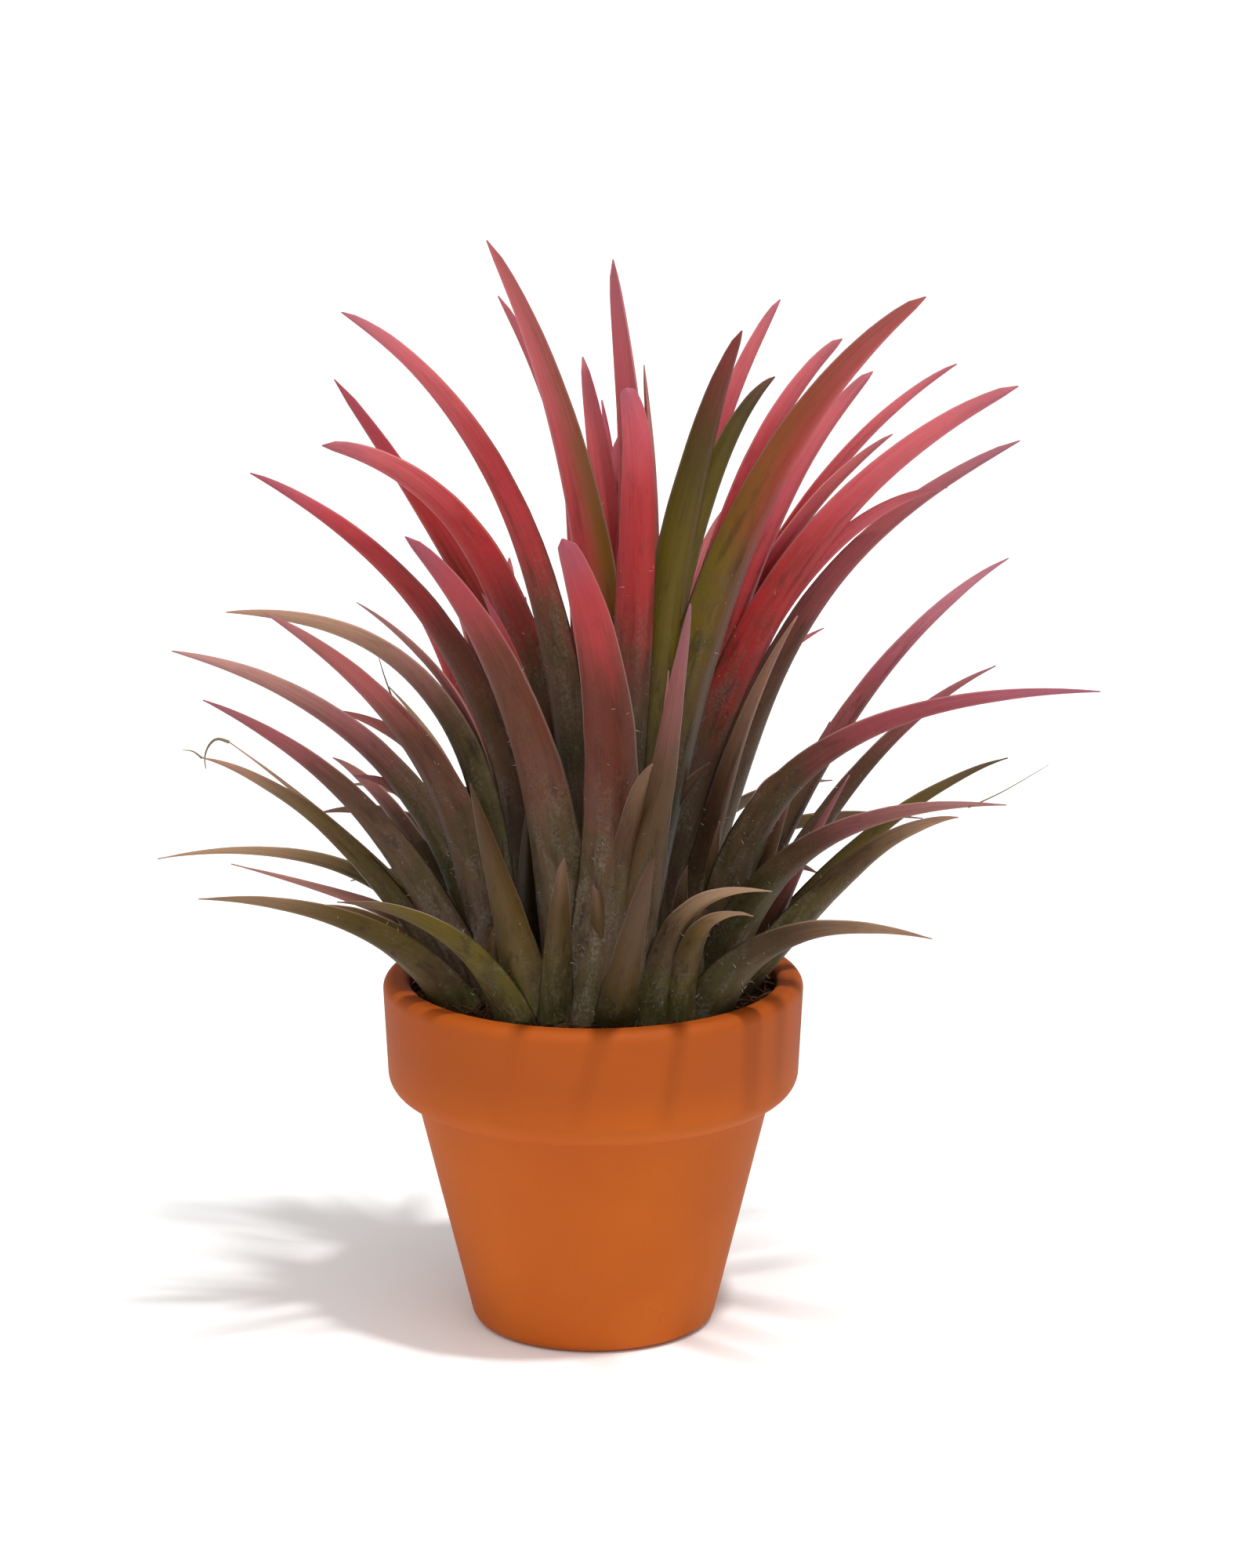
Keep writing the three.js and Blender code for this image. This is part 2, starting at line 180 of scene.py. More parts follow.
def newTree(name, sizes):  # sizes are the named inputs with their values
    tree = bpy.data.node_groups.new(name, "GeometryNodeTree")
    tree.interface.new_socket("Geometry", in_out="INPUT", socket_type="NodeSocketGeometry")
    kinds = {int: "NodeSocketInt", float: "NodeSocketFloat", bpy.types.Material: "NodeSocketMaterial"}
    for label, value in sizes.items():
        tree.interface.new_socket(label, in_out="INPUT", socket_type=kinds[type(value)])
    tree.interface.new_socket("Geometry", in_out="OUTPUT", socket_type="NodeSocketGeometry")
    nodes = Nodes(tree)
    start = nodes.add("NodeGroupInput")
    return tree, nodes, start


def endTree(nodes, geometry, start):
    real = nodes.add("GeometryNodeRealizeInstances", None, {0: geometry})
    finish = {"Geometry": real, "Material": start.also("Material")}
    nodes.add("NodeGroupOutput", None, {0: nodes.add("GeometryNodeSetMaterial", None, finish)})


def grown(name, seedMesh, tree, sizes):  # runs a tree on a seed mesh and keeps the plain mesh
    seed = bpy.data.objects.new(name + "_seed", seedMesh)
    bpy.context.scene.collection.objects.link(seed)
    modifier = seed.modifiers.new("grow", "NODES")
    modifier.node_group = tree
    for item in tree.interface.items_tree:
        if item.in_out == "INPUT" and item.name in sizes:
            modifier[item.identifier] = sizes[item.name]
    depsgraph = bpy.context.evaluated_depsgraph_get()
    mesh = bpy.data.meshes.new_from_object(seed.evaluated_get(depsgraph), depsgraph=depsgraph)
    seed.modifiers.remove(modifier)
    bpy.data.objects.remove(seed)
    return newPiece(name, mesh)


def newPiece(name, mesh):
    piece = bpy.data.objects.new(name, mesh)
    mesh.name = name
    bpy.context.scene.collection.objects.link(piece)
    return piece


def named(nodes, name, kind="FLOAT"):  # an attribute in a geometry tree
    return nodes.add("GeometryNodeInputNamedAttribute", {"data_type": kind}, {"Name": name})


def stored(nodes, geometry, name, value):
    return nodes.add("GeometryNodeStoreNamedAttribute", {"data_type": "FLOAT", "domain": "POINT"},
                     {"Geometry": geometry, "Name": name, "Value": value})


terracottaPot = {
    "bandHeight": 14.3 * mm,
    "rimTaper": 0.5 * mm,
    "rimWall": 3.2 * mm,
    "rimEdge": 1.4 * mm,
    "rimInnerEdge": 1.0 * mm,
    "bandEdge": 2.9 * mm,
    "bodyTop": 21.1 * mm,
    "bodyFoot": 14.7 * mm,
    "neckDrop": 0.6 * mm,  # the straight body ends this far below the band
    "neckOut": 0.25 * mm,
    "neckGap": 0.1 * mm,
    "footEdge": 1.7 * mm,
    "floor": 3.5 * mm,
    "floorEdge": 0.8 * mm,
    "wall": 2.6 * mm,
    "bandWallTaper": 0.4 * mm,
    "innerStep": 2.6 * mm,
    "drain": 4.0 * mm,
    "drainEdge": 0.4 * mm,
    "footRings": (7 * mm, 10 * mm),
    "bodyRings": 12,
    "innerRings": (40, 36, 32, 31, 30.1, 29.2, 28.4, 22, 16, 10, 6, 4.2),  # heights in mm
    "sides": 160,
    "clay": colour(174, 82, 10),
    # darker clay: in the grain, and as the painted shade on the band
    "darkClayAndShade": colour(152, 68, 10),
    "lightClay": colour(183, 90, 16),
    "cloudScale": 45.0,
    "grainScale": 1400.0,
    "turningScales": (30.0, 500.0),  # around and up: the marks left by turning
    "cloudRamp": (0.35, 0.7),
    "grainRamp": (0.55, 0.8, 0.0, 0.2),
    "paintedBandShade": (-1 * mm, 8 * mm, 0.0, 0.7),  # painted shade of the overhanging leaves on the rim, up from the band's lower edge
    "roughness": 0.66,
    "roughnessChange": 0.15,
    "shine": 0.25,
    "reliefStrength": 0.12,
    "reliefDepth": 0.3 * mm,
}


def arc(radius, height, size, start, end, steps):
    points = []
    for i in range(steps + 1):
        angle = math.radians(start + (end - start) * i / steps)
        points.append((radius + size * math.cos(angle), height + size * math.sin(angle)))
    return points


def insideRadius(height):  # the pot's inner wall at a height
    s = terracottaPot
    bandBottom = potHeight - s["bandHeight"]
    top = rimRadius - s["rimWall"]
    turns = [
        (s["floor"], s["bodyFoot"] - s["wall"]),
        (bandBottom, s["bodyTop"] - s["wall"]),
        (bandBottom + s["innerStep"], top - s["bandWallTaper"]),
        (potHeight, top),
    ]
    for (low, lowRadius), (high, highRadius) in zip(turns, turns[1:]):
        if height <= high:
            return lowRadius + (highRadius - lowRadius) * (height - low) / (high - low)
    return top


def turnedMesh(name, profile, sides, closed):  # closed profiles go round a hole, open ones end on the axis
    places, faces = [], []
    count = len(profile)
    for i in range(sides):
        angle = 2 * math.pi * i / sides
        for radius, height in profile:
            places.append((axisX + radius * math.cos(angle), axisY + radius * math.sin(angle), height))
    for i in range(sides):
        here, there = i * count, ((i + 1) % sides) * count
        for k in range(count if closed else count - 1):
            n = (k + 1) % count
            faces.append((here + k, there + k, there + n, here + n))
    mesh = bpy.data.meshes.new(name)
    mesh.from_pydata(places, [], faces)
    mesh.validate()
    return mesh


def potProfile():  # from the drain hole out and up, over the rim and down inside
    s = terracottaPot
    bandBottom = potHeight - s["bandHeight"]
    inner = insideRadius(potHeight)
    profile = [(s["drain"], s["drainEdge"]), (s["drain"] + s["drainEdge"], 0.0)]
    profile += [(radius, 0.0) for radius in s["footRings"]]
    profile += arc(s["bodyFoot"] - s["footEdge"], s["footEdge"], s["footEdge"], -90, -14, 8)
    low, high = profile[-1], (s["bodyTop"], bandBottom - s["neckDrop"])
    for k in range(1, s["bodyRings"] + 1):
        profile.append((low[0] + (high[0] - low[0]) * k / s["bodyRings"],
                        low[1] + (high[1] - low[1]) * k / s["bodyRings"]))
    profile.append((s["bodyTop"] + s["neckOut"], bandBottom - s["neckGap"]))
    profile += arc(rimRadius - s["rimTaper"] - s["bandEdge"], bandBottom + s["bandEdge"],
                   s["bandEdge"], -90, 0, 12)
    profile += arc(rimRadius - s["rimEdge"], potHeight - s["rimEdge"], s["rimEdge"], 0, 90, 12)
    profile += arc(inner + s["rimInnerEdge"], potHeight - s["rimInnerEdge"], s["rimInnerEdge"], 90, 165, 6)
    for height in s["innerRings"]:
        profile.append((insideRadius(height * mm), height * mm))
    profile.append((insideRadius(s["floor"]) - s["floorEdge"], s["floor"]))
    profile.append((s["drain"], s["floor"]))
    return profile


def terracotta(nodes):
    s = terracottaPot
    place = nodes.objectPlace()
    x, y, z = nodes.split(place)
    around, up = s["turningScales"]
    cloud = nodes.noise(place, s["cloudScale"], 3.0, 0.5)
    grain = nodes.noise(place, s["grainScale"], 3.0, 0.6)
    turning = nodes.noise(nodes.join(x * around, y * around, z * up), 1.0, 1.0, 0.5)
    base = nodes.mixed(nodes.ramp(cloud, *s["cloudRamp"]), s["clay"], s["lightClay"])
    base = nodes.mixed(nodes.ramp(grain, *s["grainRamp"]), base, s["darkClayAndShade"])
    # painted shade: the band turns towards the darker clay from its lower edge up, where the leaves shade
    # the rim
    bandBottom = potHeight - s["bandHeight"]
    below, above, first, last = s["paintedBandShade"]
    bandShadeMask = nodes.ramp(z, bandBottom + below, bandBottom + above, first, last)
    base = nodes.mixed(bandShadeMask, base, s["darkClayAndShade"])
    relief = grain * 0.25 + turning * 0.3 + cloud * 0.3
    return {
        "Base Color": base,
        "Roughness": s["roughness"] + (cloud - 0.5) * s["roughnessChange"],
        "Normal": nodes.bump(relief, s["reliefStrength"], s["reliefDepth"]),
        "Specular IOR Level": s["shine"],
    }


def makePot():
    mesh = turnedMesh("terracotta_pot", potProfile(), terracottaPot["sides"], True)
    piece = newPiece("terracotta_pot", mesh)
    for face in piece.data.polygons:
        face.use_smooth = True
    piece.data.materials.append(newMaterial("terracotta", terracotta))
    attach(piece, "root")
    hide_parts("pot")
    print("pot turned:", len(piece.data.polygons), "faces")


coirFill = {
    "clearance": 0.3 * mm,
    "edgeHeight": 40.2 * mm,
    "middleHeight": 41.4 * mm,
    "edgeDrop": 1 * mm,
    "edgeRound": 0.8 * mm,
    "wallRings": (16 * mm, 28.4 * mm, 31 * mm, 36 * mm),  # heights
    "topRings": 20,
    "sides": 72,
    "weld": 0.01 * mm,
    "lumps": 1.8 * mm,
    "lumpScale": 260.0,
    "lumpDepth": 0.6 * mm,  # the lumps fade out over this depth
    "strands": 1400,
    "strandLength": 6.0 * mm,
    "strandRadius": 0.13 * mm,
    "strandRings": 9,
    "strandSides": 4,
    "strandSizes": (0.45, 1.25),
    "strandSpin": ((-0.5, -0.5, 0.0), (0.5, 0.5, 6.283)),  # from and to, in radians
    "seed": 7,
    "earth": colour(46, 30, 18),
    "husk": colour(92, 62, 38),
    "fibre": colour(128, 92, 58),
    "cloudScale": 300.0,
    "fibreScale": 2500.0,
    "cloudRamp": (0.3, 0.7),
    "fibreRamp": (0.55, 0.8, 0.0, 0.5),
    "roughness": 0.95,
    "shine": 0.2,
    "reliefStrength": 0.8,
    "reliefDepth": 0.6 * mm,
}


def coir(nodes):
    s = coirFill
    place = nodes.objectPlace()
    cloud = nodes.noise(place, s["cloudScale"], 4.0, 0.7)
    fine = nodes.noise(place, s["fibreScale"], 3.0, 0.7)
    base = nodes.mixed(nodes.ramp(cloud, *s["cloudRamp"]), s["earth"], s["husk"])
    base = nodes.mixed(nodes.ramp(fine, *s["fibreRamp"]), base, s["fibre"])
    return {
        "Base Color": base,
        "Roughness": s["roughness"],
        "Normal": nodes.bump(cloud + fine, s["reliefStrength"], s["reliefDepth"]),
        "Specular IOR Level": s["shine"],
    }


def fillMesh():
    s = coirFill
    edge = insideRadius(s["edgeHeight"]) - s["clearance"]
    profile = [(0.0, fillBottom)]
    profile += [(insideRadius(h) - s["clearance"], h) for h in (fillBottom,) + s["wallRings"]]
    profile += [(edge, s["edgeHeight"] - s["edgeDrop"])]
    for k in range(s["topRings"] + 1):
        part = k / s["topRings"]
        rise = (s["middleHeight"] - s["edgeHeight"]) * math.sin(part * math.pi / 2)
        profile.append(((edge - s["edgeRound"]) * (1 - part), s["edgeHeight"] + rise))
    return turnedMesh("coir_fill", profile, s["sides"], False)


def strandShape(nodes, start):  # a shallow hook, in parts of its length
    length = start.also("Strand length")
    line = nodes.add("GeometryNodeCurveQuadraticBezier", None, {
        "Resolution": start.also("Strand rings"),
        "Start": nodes.join(length * -0.5, 0.0, 0.0),
        "Middle": nodes.join(0.0, length * 0.3, length * 0.45),
        "End": nodes.join(length * 0.5, 0.0, length * -0.1),
    })
    ring = nodes.add("GeometryNodeCurvePrimitiveCircle", None,
                     {"Resolution": start.also("Strand sides"), "Radius": start.also("Strand radius")})
    return nodes.add("GeometryNodeCurveToMesh", None,
                     {"Curve": line, "Profile Curve": ring, "Fill Caps": True})


def coirTree(sizes):
    s = coirFill
    tree, nodes, start = newTree("coirFill", sizes)
    place = nodes.add("GeometryNodeInputPosition")
    z = nodes.split(place)[2]
    welded = nodes.add("GeometryNodeMergeByDistance", None, {"Geometry": start, "Distance": s["weld"]})
    top = nodes.ramp(z, start.also("Top height") - s["lumpDepth"], start.also("Top height"))
    lumps = nodes.noise(place, s["lumpScale"], 4.0, 0.65)
    raised = nodes.join(0.0, 0.0, (lumps - 0.5) * 2.0 * start.also("Lump height") * top)
    ground = nodes.add("GeometryNodeSetPosition", None, {"Geometry": welded, "Offset": raised})
    ground = nodes.add("GeometryNodeSetShadeSmooth", None, {"Geometry": ground})
    points = nodes.add("GeometryNodeDistributePointsOnFaces", {"distribute_method": "RANDOM"},
                       {"Mesh": ground, "Selection": top.isOver(0.5),
                        "Density": start.also("Strand density"), "Seed": start.also("Seed")})
    (low, high), (small, large) = s["strandSpin"], s["strandSizes"]
    spin = nodes.add("FunctionNodeRandomValue", {"data_type": "FLOAT_VECTOR"},
                     {0: low, 1: high, "Seed": start.also("Seed")})
    size = nodes.add("FunctionNodeRandomValue", {"data_type": "FLOAT"}, {2: small, 3: large}, 1)
    strands = nodes.add("GeometryNodeInstanceOnPoints", None, {
        "Points": points, "Instance": strandShape(nodes, start), "Rotation": spin, "Scale": size})
    endTree(nodes, nodes.together(ground, strands), start)
    return tree


def makeFill():
    s = coirFill
    area = math.pi * insideRadius(s["edgeHeight"]) ** 2
    sizes = {
        "Top height": s["edgeHeight"],
        "Lump height": s["lumps"],
        "Strand density": s["strands"] / area,
        "Strand length": s["strandLength"],
        "Strand radius": s["strandRadius"],
        "Strand rings": s["strandRings"],
        "Strand sides": s["strandSides"],
        "Seed": s["seed"],
        "Material": newMaterial("coir", coir),
    }
    piece = grown("coir_fill", fillMesh(), coirTree(sizes), sizes)
    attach(piece, "root")
    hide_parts("medium")
    print("fill laid:", len(piece.data.polygons), "faces")


leafShape = {  # lengths in millimetres, like those in the rows of leaves
    "rootRadius": 2.6,
    "rootHeight": 38.5,
    "ringRadius": 13.0,
    "ringStart": -79.0,
    "faceTurn": 52.0,
    "twist": 0.5,  # radians from root to tip, up to half of it each way
    "alongSteps": 44,
    "aroundSteps": 18,
    "flare": 0.25,  # how much wider a blade is at its root
    "flareLength": 0.07,
    "baseThickness": 1.8,
    "tipThickness": 0.6,
    "thinWidth": 0.9,  # with less than this beside its midrib, a blade gets thinner too
    "crown": 0.55,  # how much thinner a blade is at its edges
    "tipHalfWidth": 0.1,
    "channel": 0.5,  # how hollow a blade is
    "channelGrowth": 0.5,  # towards the tip
    "lowTaper": (60, 0.8),  # tip height and power
    "tallTaper": (115, 0.5),
    "wander": 0.5,  # how far a midrib strays
    "wanderPace": (2.2, 7.3),  # along the leaf, and from leaf to leaf
    "edgeWave": 0.16,
    "edgePace": (9.0, 3.1),
}
ringHeads = ["front", "right", "back_right", "back_left", "left"]
rowLength = 13  # the values in a row, before its own root

# One row for each leaf that shows from the front: its tip's x, y and z from the pot's axis and
# foot, and its width, in millimetres; the power that tapers it and the power that bows it out;
# how far its middle leans right and rises, in millimetres; how far the red comes down from the
# tip, how strong it is, how green and how dry the leaf is, each from 0 to 1; and which edge the
# green keeps to, from -1 for the left to 1 for the right. A row may end with its own root's x, y.
shownLeaves = {
    "mother": [
        [-29, 1, 122, 6.8, 0.5, 2, 1.6, 12, 0.52, 0.75, 0, 0.1, 0],
        [-11, 0, 124, 5.4, 0.5, 3, 4.3, 3, 0.5, 0.9, 0.2, 0.1, 0],
        [-12, -6, 131, 8.2, 0.5, 3.4, 4.1, -3, 0.55, 0.85, 1, 0.1, 0.38],
        [-1.2, 12, 115, 7, 0.5, 2, 3.2, 0, 0.5, 0.85, 0, 0.1, 0],
        [1, 16, 109, 3.6, 0.55, 1.6, 3, 5, 0.6, 0.9, 0, 0, 0],
        [2.5, 8, 127, 8.2, 0.5, 1.4, 4.6, 1, 0.62, 0.8, 0, 0.1, 0],
        [4, -11, 115, 5.8, 0.35, 1.4, 3, 13, 0.55, 1, 0, 0, 0],
        [6, 6, 115, 3.8, 0.5, 1, 3, 0, 0.6, 0.7, 0, 0.4, 0],
        [17, -8, 121, 7.8, 0.5, 2.8, 3.8, 4, 0.12, 0.6, 1, 0, -0.1],
        [22, 10, 122, 6.4, 0.5, 1.2, -0.4, 10, 0.6, 1, 0, 0.1, 0],
        [21, -2, 115, 6, 0.55, 1, -1, 14, 0.05, 0.2, 1, 0.1, 0],
        [38, -9, 125, 8, 0.45, 2.6, 7, 8.2, 0.4, 0.9, 0.95, 0.1, -0.25],
        [-10, -6, 74, 6.4, 0.7, 1.4, 0, 4, 0.1, 0.5, 0.3, 0, 0],
        [-13, 4, 88, 6.4, 0.65, 1.6, 0, 4, 0.4, 0.8, 0, 0, 0],
        [14, 2, 68, 6.4, 0.75, 1.4, 0, 4, 0, 0, 0.3, 0, 0],
    ],
    "front": [
        [-29, -24, 58, 5.2, 0.8, 1.4, 0, 4, 0, 0, 0.9, 0.2, 0, -8.8, -15.6],
        [38, -36, 57, 6.8, 0.8, 1.8, 2, 4.4, 0.05, 0.1, 0.1, 0.6, 0, 12.4, -14.2],
        [-21, -22, 100, 8, 0.45, 2.8, -2, 2, 0.21, 0.58, 0, 0, 0, -2, -14],
        [-3, -28, 101, 8, 0.35, 2, 4, 1, 0.24, 0.7, 0, 0, 0, -1.4, -16.4],
        [11, -30, 94, 6, 0.6, 1.6, 0, -5, 0.2, 0.35, 0.2, 0.1, 0, 4, -14.8],
        [7, -31, 76, 5.4, 0.7, 2.6, 1, 4, 0, 0.2, 0.1, 0.25, 0, 2, -16.2],
        [-3, -35, 66, 4.6, 0.75, 1.8, 0, 2, 0, 0, 0.4, 0.2, 0, -4.2, -16.6],
        [7, -35, 66, 6, 0.6, 1.6, -1, -4, 0, 0, 0.3, 0, 0, 3.2, -17],
        [20, -37, 63, 5.6, 0.8, 2.6, 1, 3, 0, 0, 0.35, 1, 0, 6.8, -16.4],
        [18, -37, 60, 4.6, 0.8, 1.8, 0, 4, 0, 0, 0.6, 0.7, 0, 9.8, -15.6],
        [-14, -20, 71, 7.4, 0.75, 1.6, 0, -3, 0, 0, 0.4, 0, 0, -7, -14.4],
        [9, -10, 82, 4.6, 0.7, 1.6, 1, -1, 0.15, 0.3, 0.1, 0.2, 0],
    ],
    "right": [
        [49, 6, 92, 5.8, 0.65, 1.2, 0, 7.6, 0.55, 0.46, 0, 0.1, 0],
        [57, -26, 83, 6.6, 0.65, 2, -1, 8.4, 0.42, 0.5, 0, 0, 0],
        [47, -3, 81, 4.8, 0.7, 1, -1.6, 5.4, 0.3, 0.4, 0, 0.1, 0],
        [46, -34, 72, 6, 0.75, 1.4, -2, 6, 0.4, 0.22, 0, 0.3, 0],
        [49, 4, 68, 4.4, 0.75, 1, 0, 5, 0, 0, 0.8, 0.1, 0],
        [42, -16, 66, 5.2, 0.75, 1, 2.3, 6, 0.1, 0.3, 0.3, 0.7, 0],
        [28, 2, 73, 4.2, 0.75, 2.6, 3, -1, 0.2, 0.3, 0.1, 0.1, 0],
        [25, -4, 70, 4, 0.75, 2.6, 3, 0, 0.2, 0.3, 0.1, 0.1, 0],
        [30, -8, 69, 4.8, 0.75, 2.8, 3, -6, 0.3, 0.4, 0, 0.1, 0],
    ],
    "back_right": [
        [30, 24, 115, 6.4, 0.4, 1.6, 0, 11.4, 0.6, 0.9, 0, 0.1, 0],
        [33, 12, 113, 5.6, 0.4, 1.4, 0, 9, 0.68, 0.9, 0, 0.1, 0],
        [44, 30, 111, 5.2, 0.5, 1.6, 0, 10.4, 0.6, 0.85, 0, 0.1, 0],
        [50, 8, 112, 7.8, 0.45, 2.4, 5, 7.8, 0.62, 0.95, 0, 0.1, 0],
        [36, 20, 104, 6, 0.55, 1.6, 0, 9, 0.66, 0.85, 0, 0.2, 0],
        [42, 12, 99, 5.6, 0.6, 1.4, 0, 13, 0.66, 0.95, 0, 0.1, 0],
        [51, 17, 104, 7.4, 0.5, 3.4, 9.2, 3, 0.35, 0.5, 0, 0.1, 0],
        [24, 5, 85, 5.4, 0.65, 3.2, 5, -4, 0.2, 0.4, 0, 0.6, 0],
    ],
    "back_left": [
        [-41, 17, 100, 8.4, 0.6, 1.6, 5.7, 6.8, 0.36, 0.72, 0, 0, 0],
        [-31, 19, 111, 11, 0.5, 1.8, 12, -12, 0.2, 1, 0, 0, 0],
        [-32, 10, 104.6, 8.6, 0.45, 1.5, 6, 13, 0.5, 1, 0, 0.1, 0, -8.6, 8.2],
        [-8, 12, 86, 8, 0.6, 1.6, 1, 0, 0.1, 0.9, 0, 0, 0],
    ],
    "left": [
        [-51, -4, 58, 4.6, 0.8, 1.6, -1, 7.8, 0, 0.1, 0.8, 0.8, 0],
        [-42, -10, 59, 5.2, 0.8, 2.4, 1, -0.2, 0.3, 0.3, 0.1, 0.4, 0],
        [-33, -18, 56, 4.8, 0.8, 1.6, -2, 3, 0, 0, 0.6, 0.4, 0, -16.2, -5.6],
        [-44, -33, 61, 6, 0.8, 1.5, -1, 3, 0, 0.1, 0.6, 0.5, 0, -15.4, -9.2],
        [-45, -12, 72, 4.6, 0.75, 1, 0, 6, 0.2, 0.3, 0.5, 0.6, 0],
        [-43, 0, 71, 2.6, 0.75, 1.8, 0, -1, 0.1, 0.3, 0.4, 0.8, 0],
        [-44, -21, 81, 6.2, 0.7, 1.4, -1, 5, 0.3, 0.4, 0, 0.1, 0],
        [-49, -4, 83, 6.8, 0.65, 1.4, 4, 7, 0.45, 0.28, 0.1, 0.45, 0],
        [-31, 4, 68, 7, 0.75, 1.2, -0.2, 5.6, 0.3, 0.35, 0, 0.3, 0],
        [-43, 3, 86, 7.4, 0.65, 1.3, 8, 12.4, 0.45, 0.25, 0.1, 0.8, 0],
        [-37, -17, 90, 7.2, 0.65, 1.6, 3.6, 4, 0.3, 0.5, 0, 0.2, 0],
        [-28, 8, 86, 5.4, 0.65, 2.6, 3, 6, 0.4, 0.4, 0, 0.4, 0],
        [-24, 0, 78, 4.2, 0.7, 2.2, 2, 2, 0, 0, 0, 1, 0],
    ],
}

# Leaves set by rule: count, from and to bearing in degrees, then reach and height, in millimetres,
# each at the low and the high level.
leafFans = {
    "mother": (5, 60, 110, (24, 14), (92, 106)),
    "back_right": (9, 14, 104, (36, 20), (58, 92)),
    "back_left": (10, 80, 166, (27, 20), (58, 86)),
    "right": (3, 16, 46, (14, 12), (58, 66)),
    "left": (2, 150, 176, (20, 16), (56, 66)),
}
fanLeaf = {
    "width": (5, 6.4),
    "bow": 1.8,
    "lean": 0,
    "rise": 7,
    "bearingSpread": 0.4,  # as a share of the space between two leaves
    "reachSpread": 4,
    "heightSpread": 8,
}
heartLeaf = {
    "count": 5,
    "reach": (3, 6),
    "outward": 2,
    "height": (50, 64),
    "width": (4.4, 5.4),
    "bow": 1.6,
    "lean": 0,
    "rise": 2,
    "turn": 137.5,  # degrees from one leaf to the next
}
ruleColour = {  # of the fans and hearts, by the height of the tip
    "plainHeight": 60,
    "redHeight": 90,
    "redReach": 0.6,
    "strength": (0.3, 1.0),
    "strengthSpread": 0.2,
    "green": 0.5,
    "dry": 0.3,
}
leafNumbers = 100  # set aside for each head
heartNumbers = 50  # the first of them that a heart leaf takes


def draw(number, purpose):  # a repeatable number from 0 to 1
    wave = math.sin(number * 12.9898 + purpose * 78.233) * 43758.5453
    return wave - math.floor(wave)


def taperOf(height):  # a taller leaf keeps its width further up
    low, tall = leafShape["lowTaper"], leafShape["tallTaper"]
    part = min(1.0, max(0.0, (height - low[0]) / (tall[0] - low[0])))
    return between((low[1], tall[1]), part)


def ruleTint(height, number):  # taller leaves are redder and less green
    s = ruleColour
    red = min(1.0, max(0.0, (height - s["plainHeight"]) / (s["redHeight"] - s["plainHeight"])))
    strength = between(s["strength"], red) * (1 - s["strengthSpread"] * (1 - draw(number, 5)))
    green = s["green"] * draw(number, 6) * (1 - red)
    return [s["redReach"] * red, strength, green, s["dry"] * draw(number, 7), 0.0]


def ruleRow(kind, x, y, height, number, purpose):
    return [x, y, height, between(kind["width"], draw(number, purpose)), taperOf(height),
            kind["bow"], kind["lean"], kind["rise"]] + ruleTint(height, number)


def fanRows(centre, fan, firstNumber):
    s = fanLeaf
    count, start, end, reaches, heights = fan
    rows = []
    for i in range(count):
        number = firstNumber + i
        level = i * 2 % 3 / 2  # low, high and half-way in turn
        step = i + (1 - s["bearingSpread"]) / 2 + s["bearingSpread"] * draw(number, 1)
        bearing = math.radians(between((start, end), step / count))
        reach = between(reaches, level) + s["reachSpread"] * (draw(number, 2) - 0.5)
        height = between(heights, level) + s["heightSpread"] * (draw(number, 3) - 0.5)
        x, y = centre[0] + reach * math.cos(bearing), centre[1] + reach * math.sin(bearing)
        rows.append(ruleRow(s, x, y, height, number, 4))
    return rows


def heartRows(centre, outward, firstNumber):
    s = heartLeaf
    rows = []
    for i in range(s["count"]):
        number = firstNumber + i
        bearing = math.radians(s["turn"] * number)
        reach = between(s["reach"], draw(number, 1))
        height = between(s["height"], draw(number, 2))
        x = centre[0] + s["outward"] * outward[0] + reach * math.cos(bearing)
        y = centre[1] + s["outward"] * outward[1] + reach * math.sin(bearing)
        rows.append(ruleRow(s, x, y, height, number, 3))
    return rows


def headRows():  # each head's middle, all its rows and its first leaf's number
    heads = [("mother", (0.0, 0.0), (0.0, 0.0))]
    for i, name in enumerate(ringHeads):
        bearing = math.radians(leafShape["ringStart"] + i * 360 / len(ringHeads))
        outward = (math.cos(bearing), math.sin(bearing))
        heads.append((name, tuple(leafShape["ringRadius"] * c for c in outward), outward))
    found = {}
    for order, (name, centre, outward) in enumerate(heads):
        firstNumber = leafNumbers * order
        rows = list(shownLeaves[name])
        if name in leafFans:
            rows += fanRows(centre, leafFans[name], firstNumber)
        rows += heartRows(centre, outward, firstNumber + heartNumbers)
        found[name] = (centre, rows, firstNumber)
    return found


def leafRoot(centre, row):  # its own root, or the side of the head's middle that it leans to
    if len(row) > rowLength:
        return row[rowLength:]
    away = math.hypot(row[0] - centre[0], row[1] - centre[1])
    return tuple(c + leafShape["rootRadius"] * (tip - c) / away for c, tip in zip(centre, row))


def leafMarks(centre, row, number):  # what the trees need to know of a leaf
    x, y, z, width, taper, bow, lean, rise, red, strength, green, dry, stripe = row[:rowLength]
    rootX, rootY = leafRoot(centre, row)
    away = math.hypot(x - rootX, y - rootY)
    right, back = (x - rootX) / away, (y - rootY) / away
    return {
        "root": (axisX + rootX * mm, axisY + rootY * mm, leafShape["rootHeight"] * mm),
        "tip": (axisX + x * mm, axisY + y * mm, z * mm),
        "bearing": (right, back, 0.0),
        "bend": (bow, lean * mm, rise * mm),
        "tint": (red, strength, green),
        "width": width * mm,
        "taper": taper,
        "turn": math.radians(-leafShape["faceTurn"] * right),
        "twist": leafShape["twist"] * (draw(number, 8) - 0.5),
        "number": number + 1.0,
        "dry": dry,
        "stripe": stripe,
    }


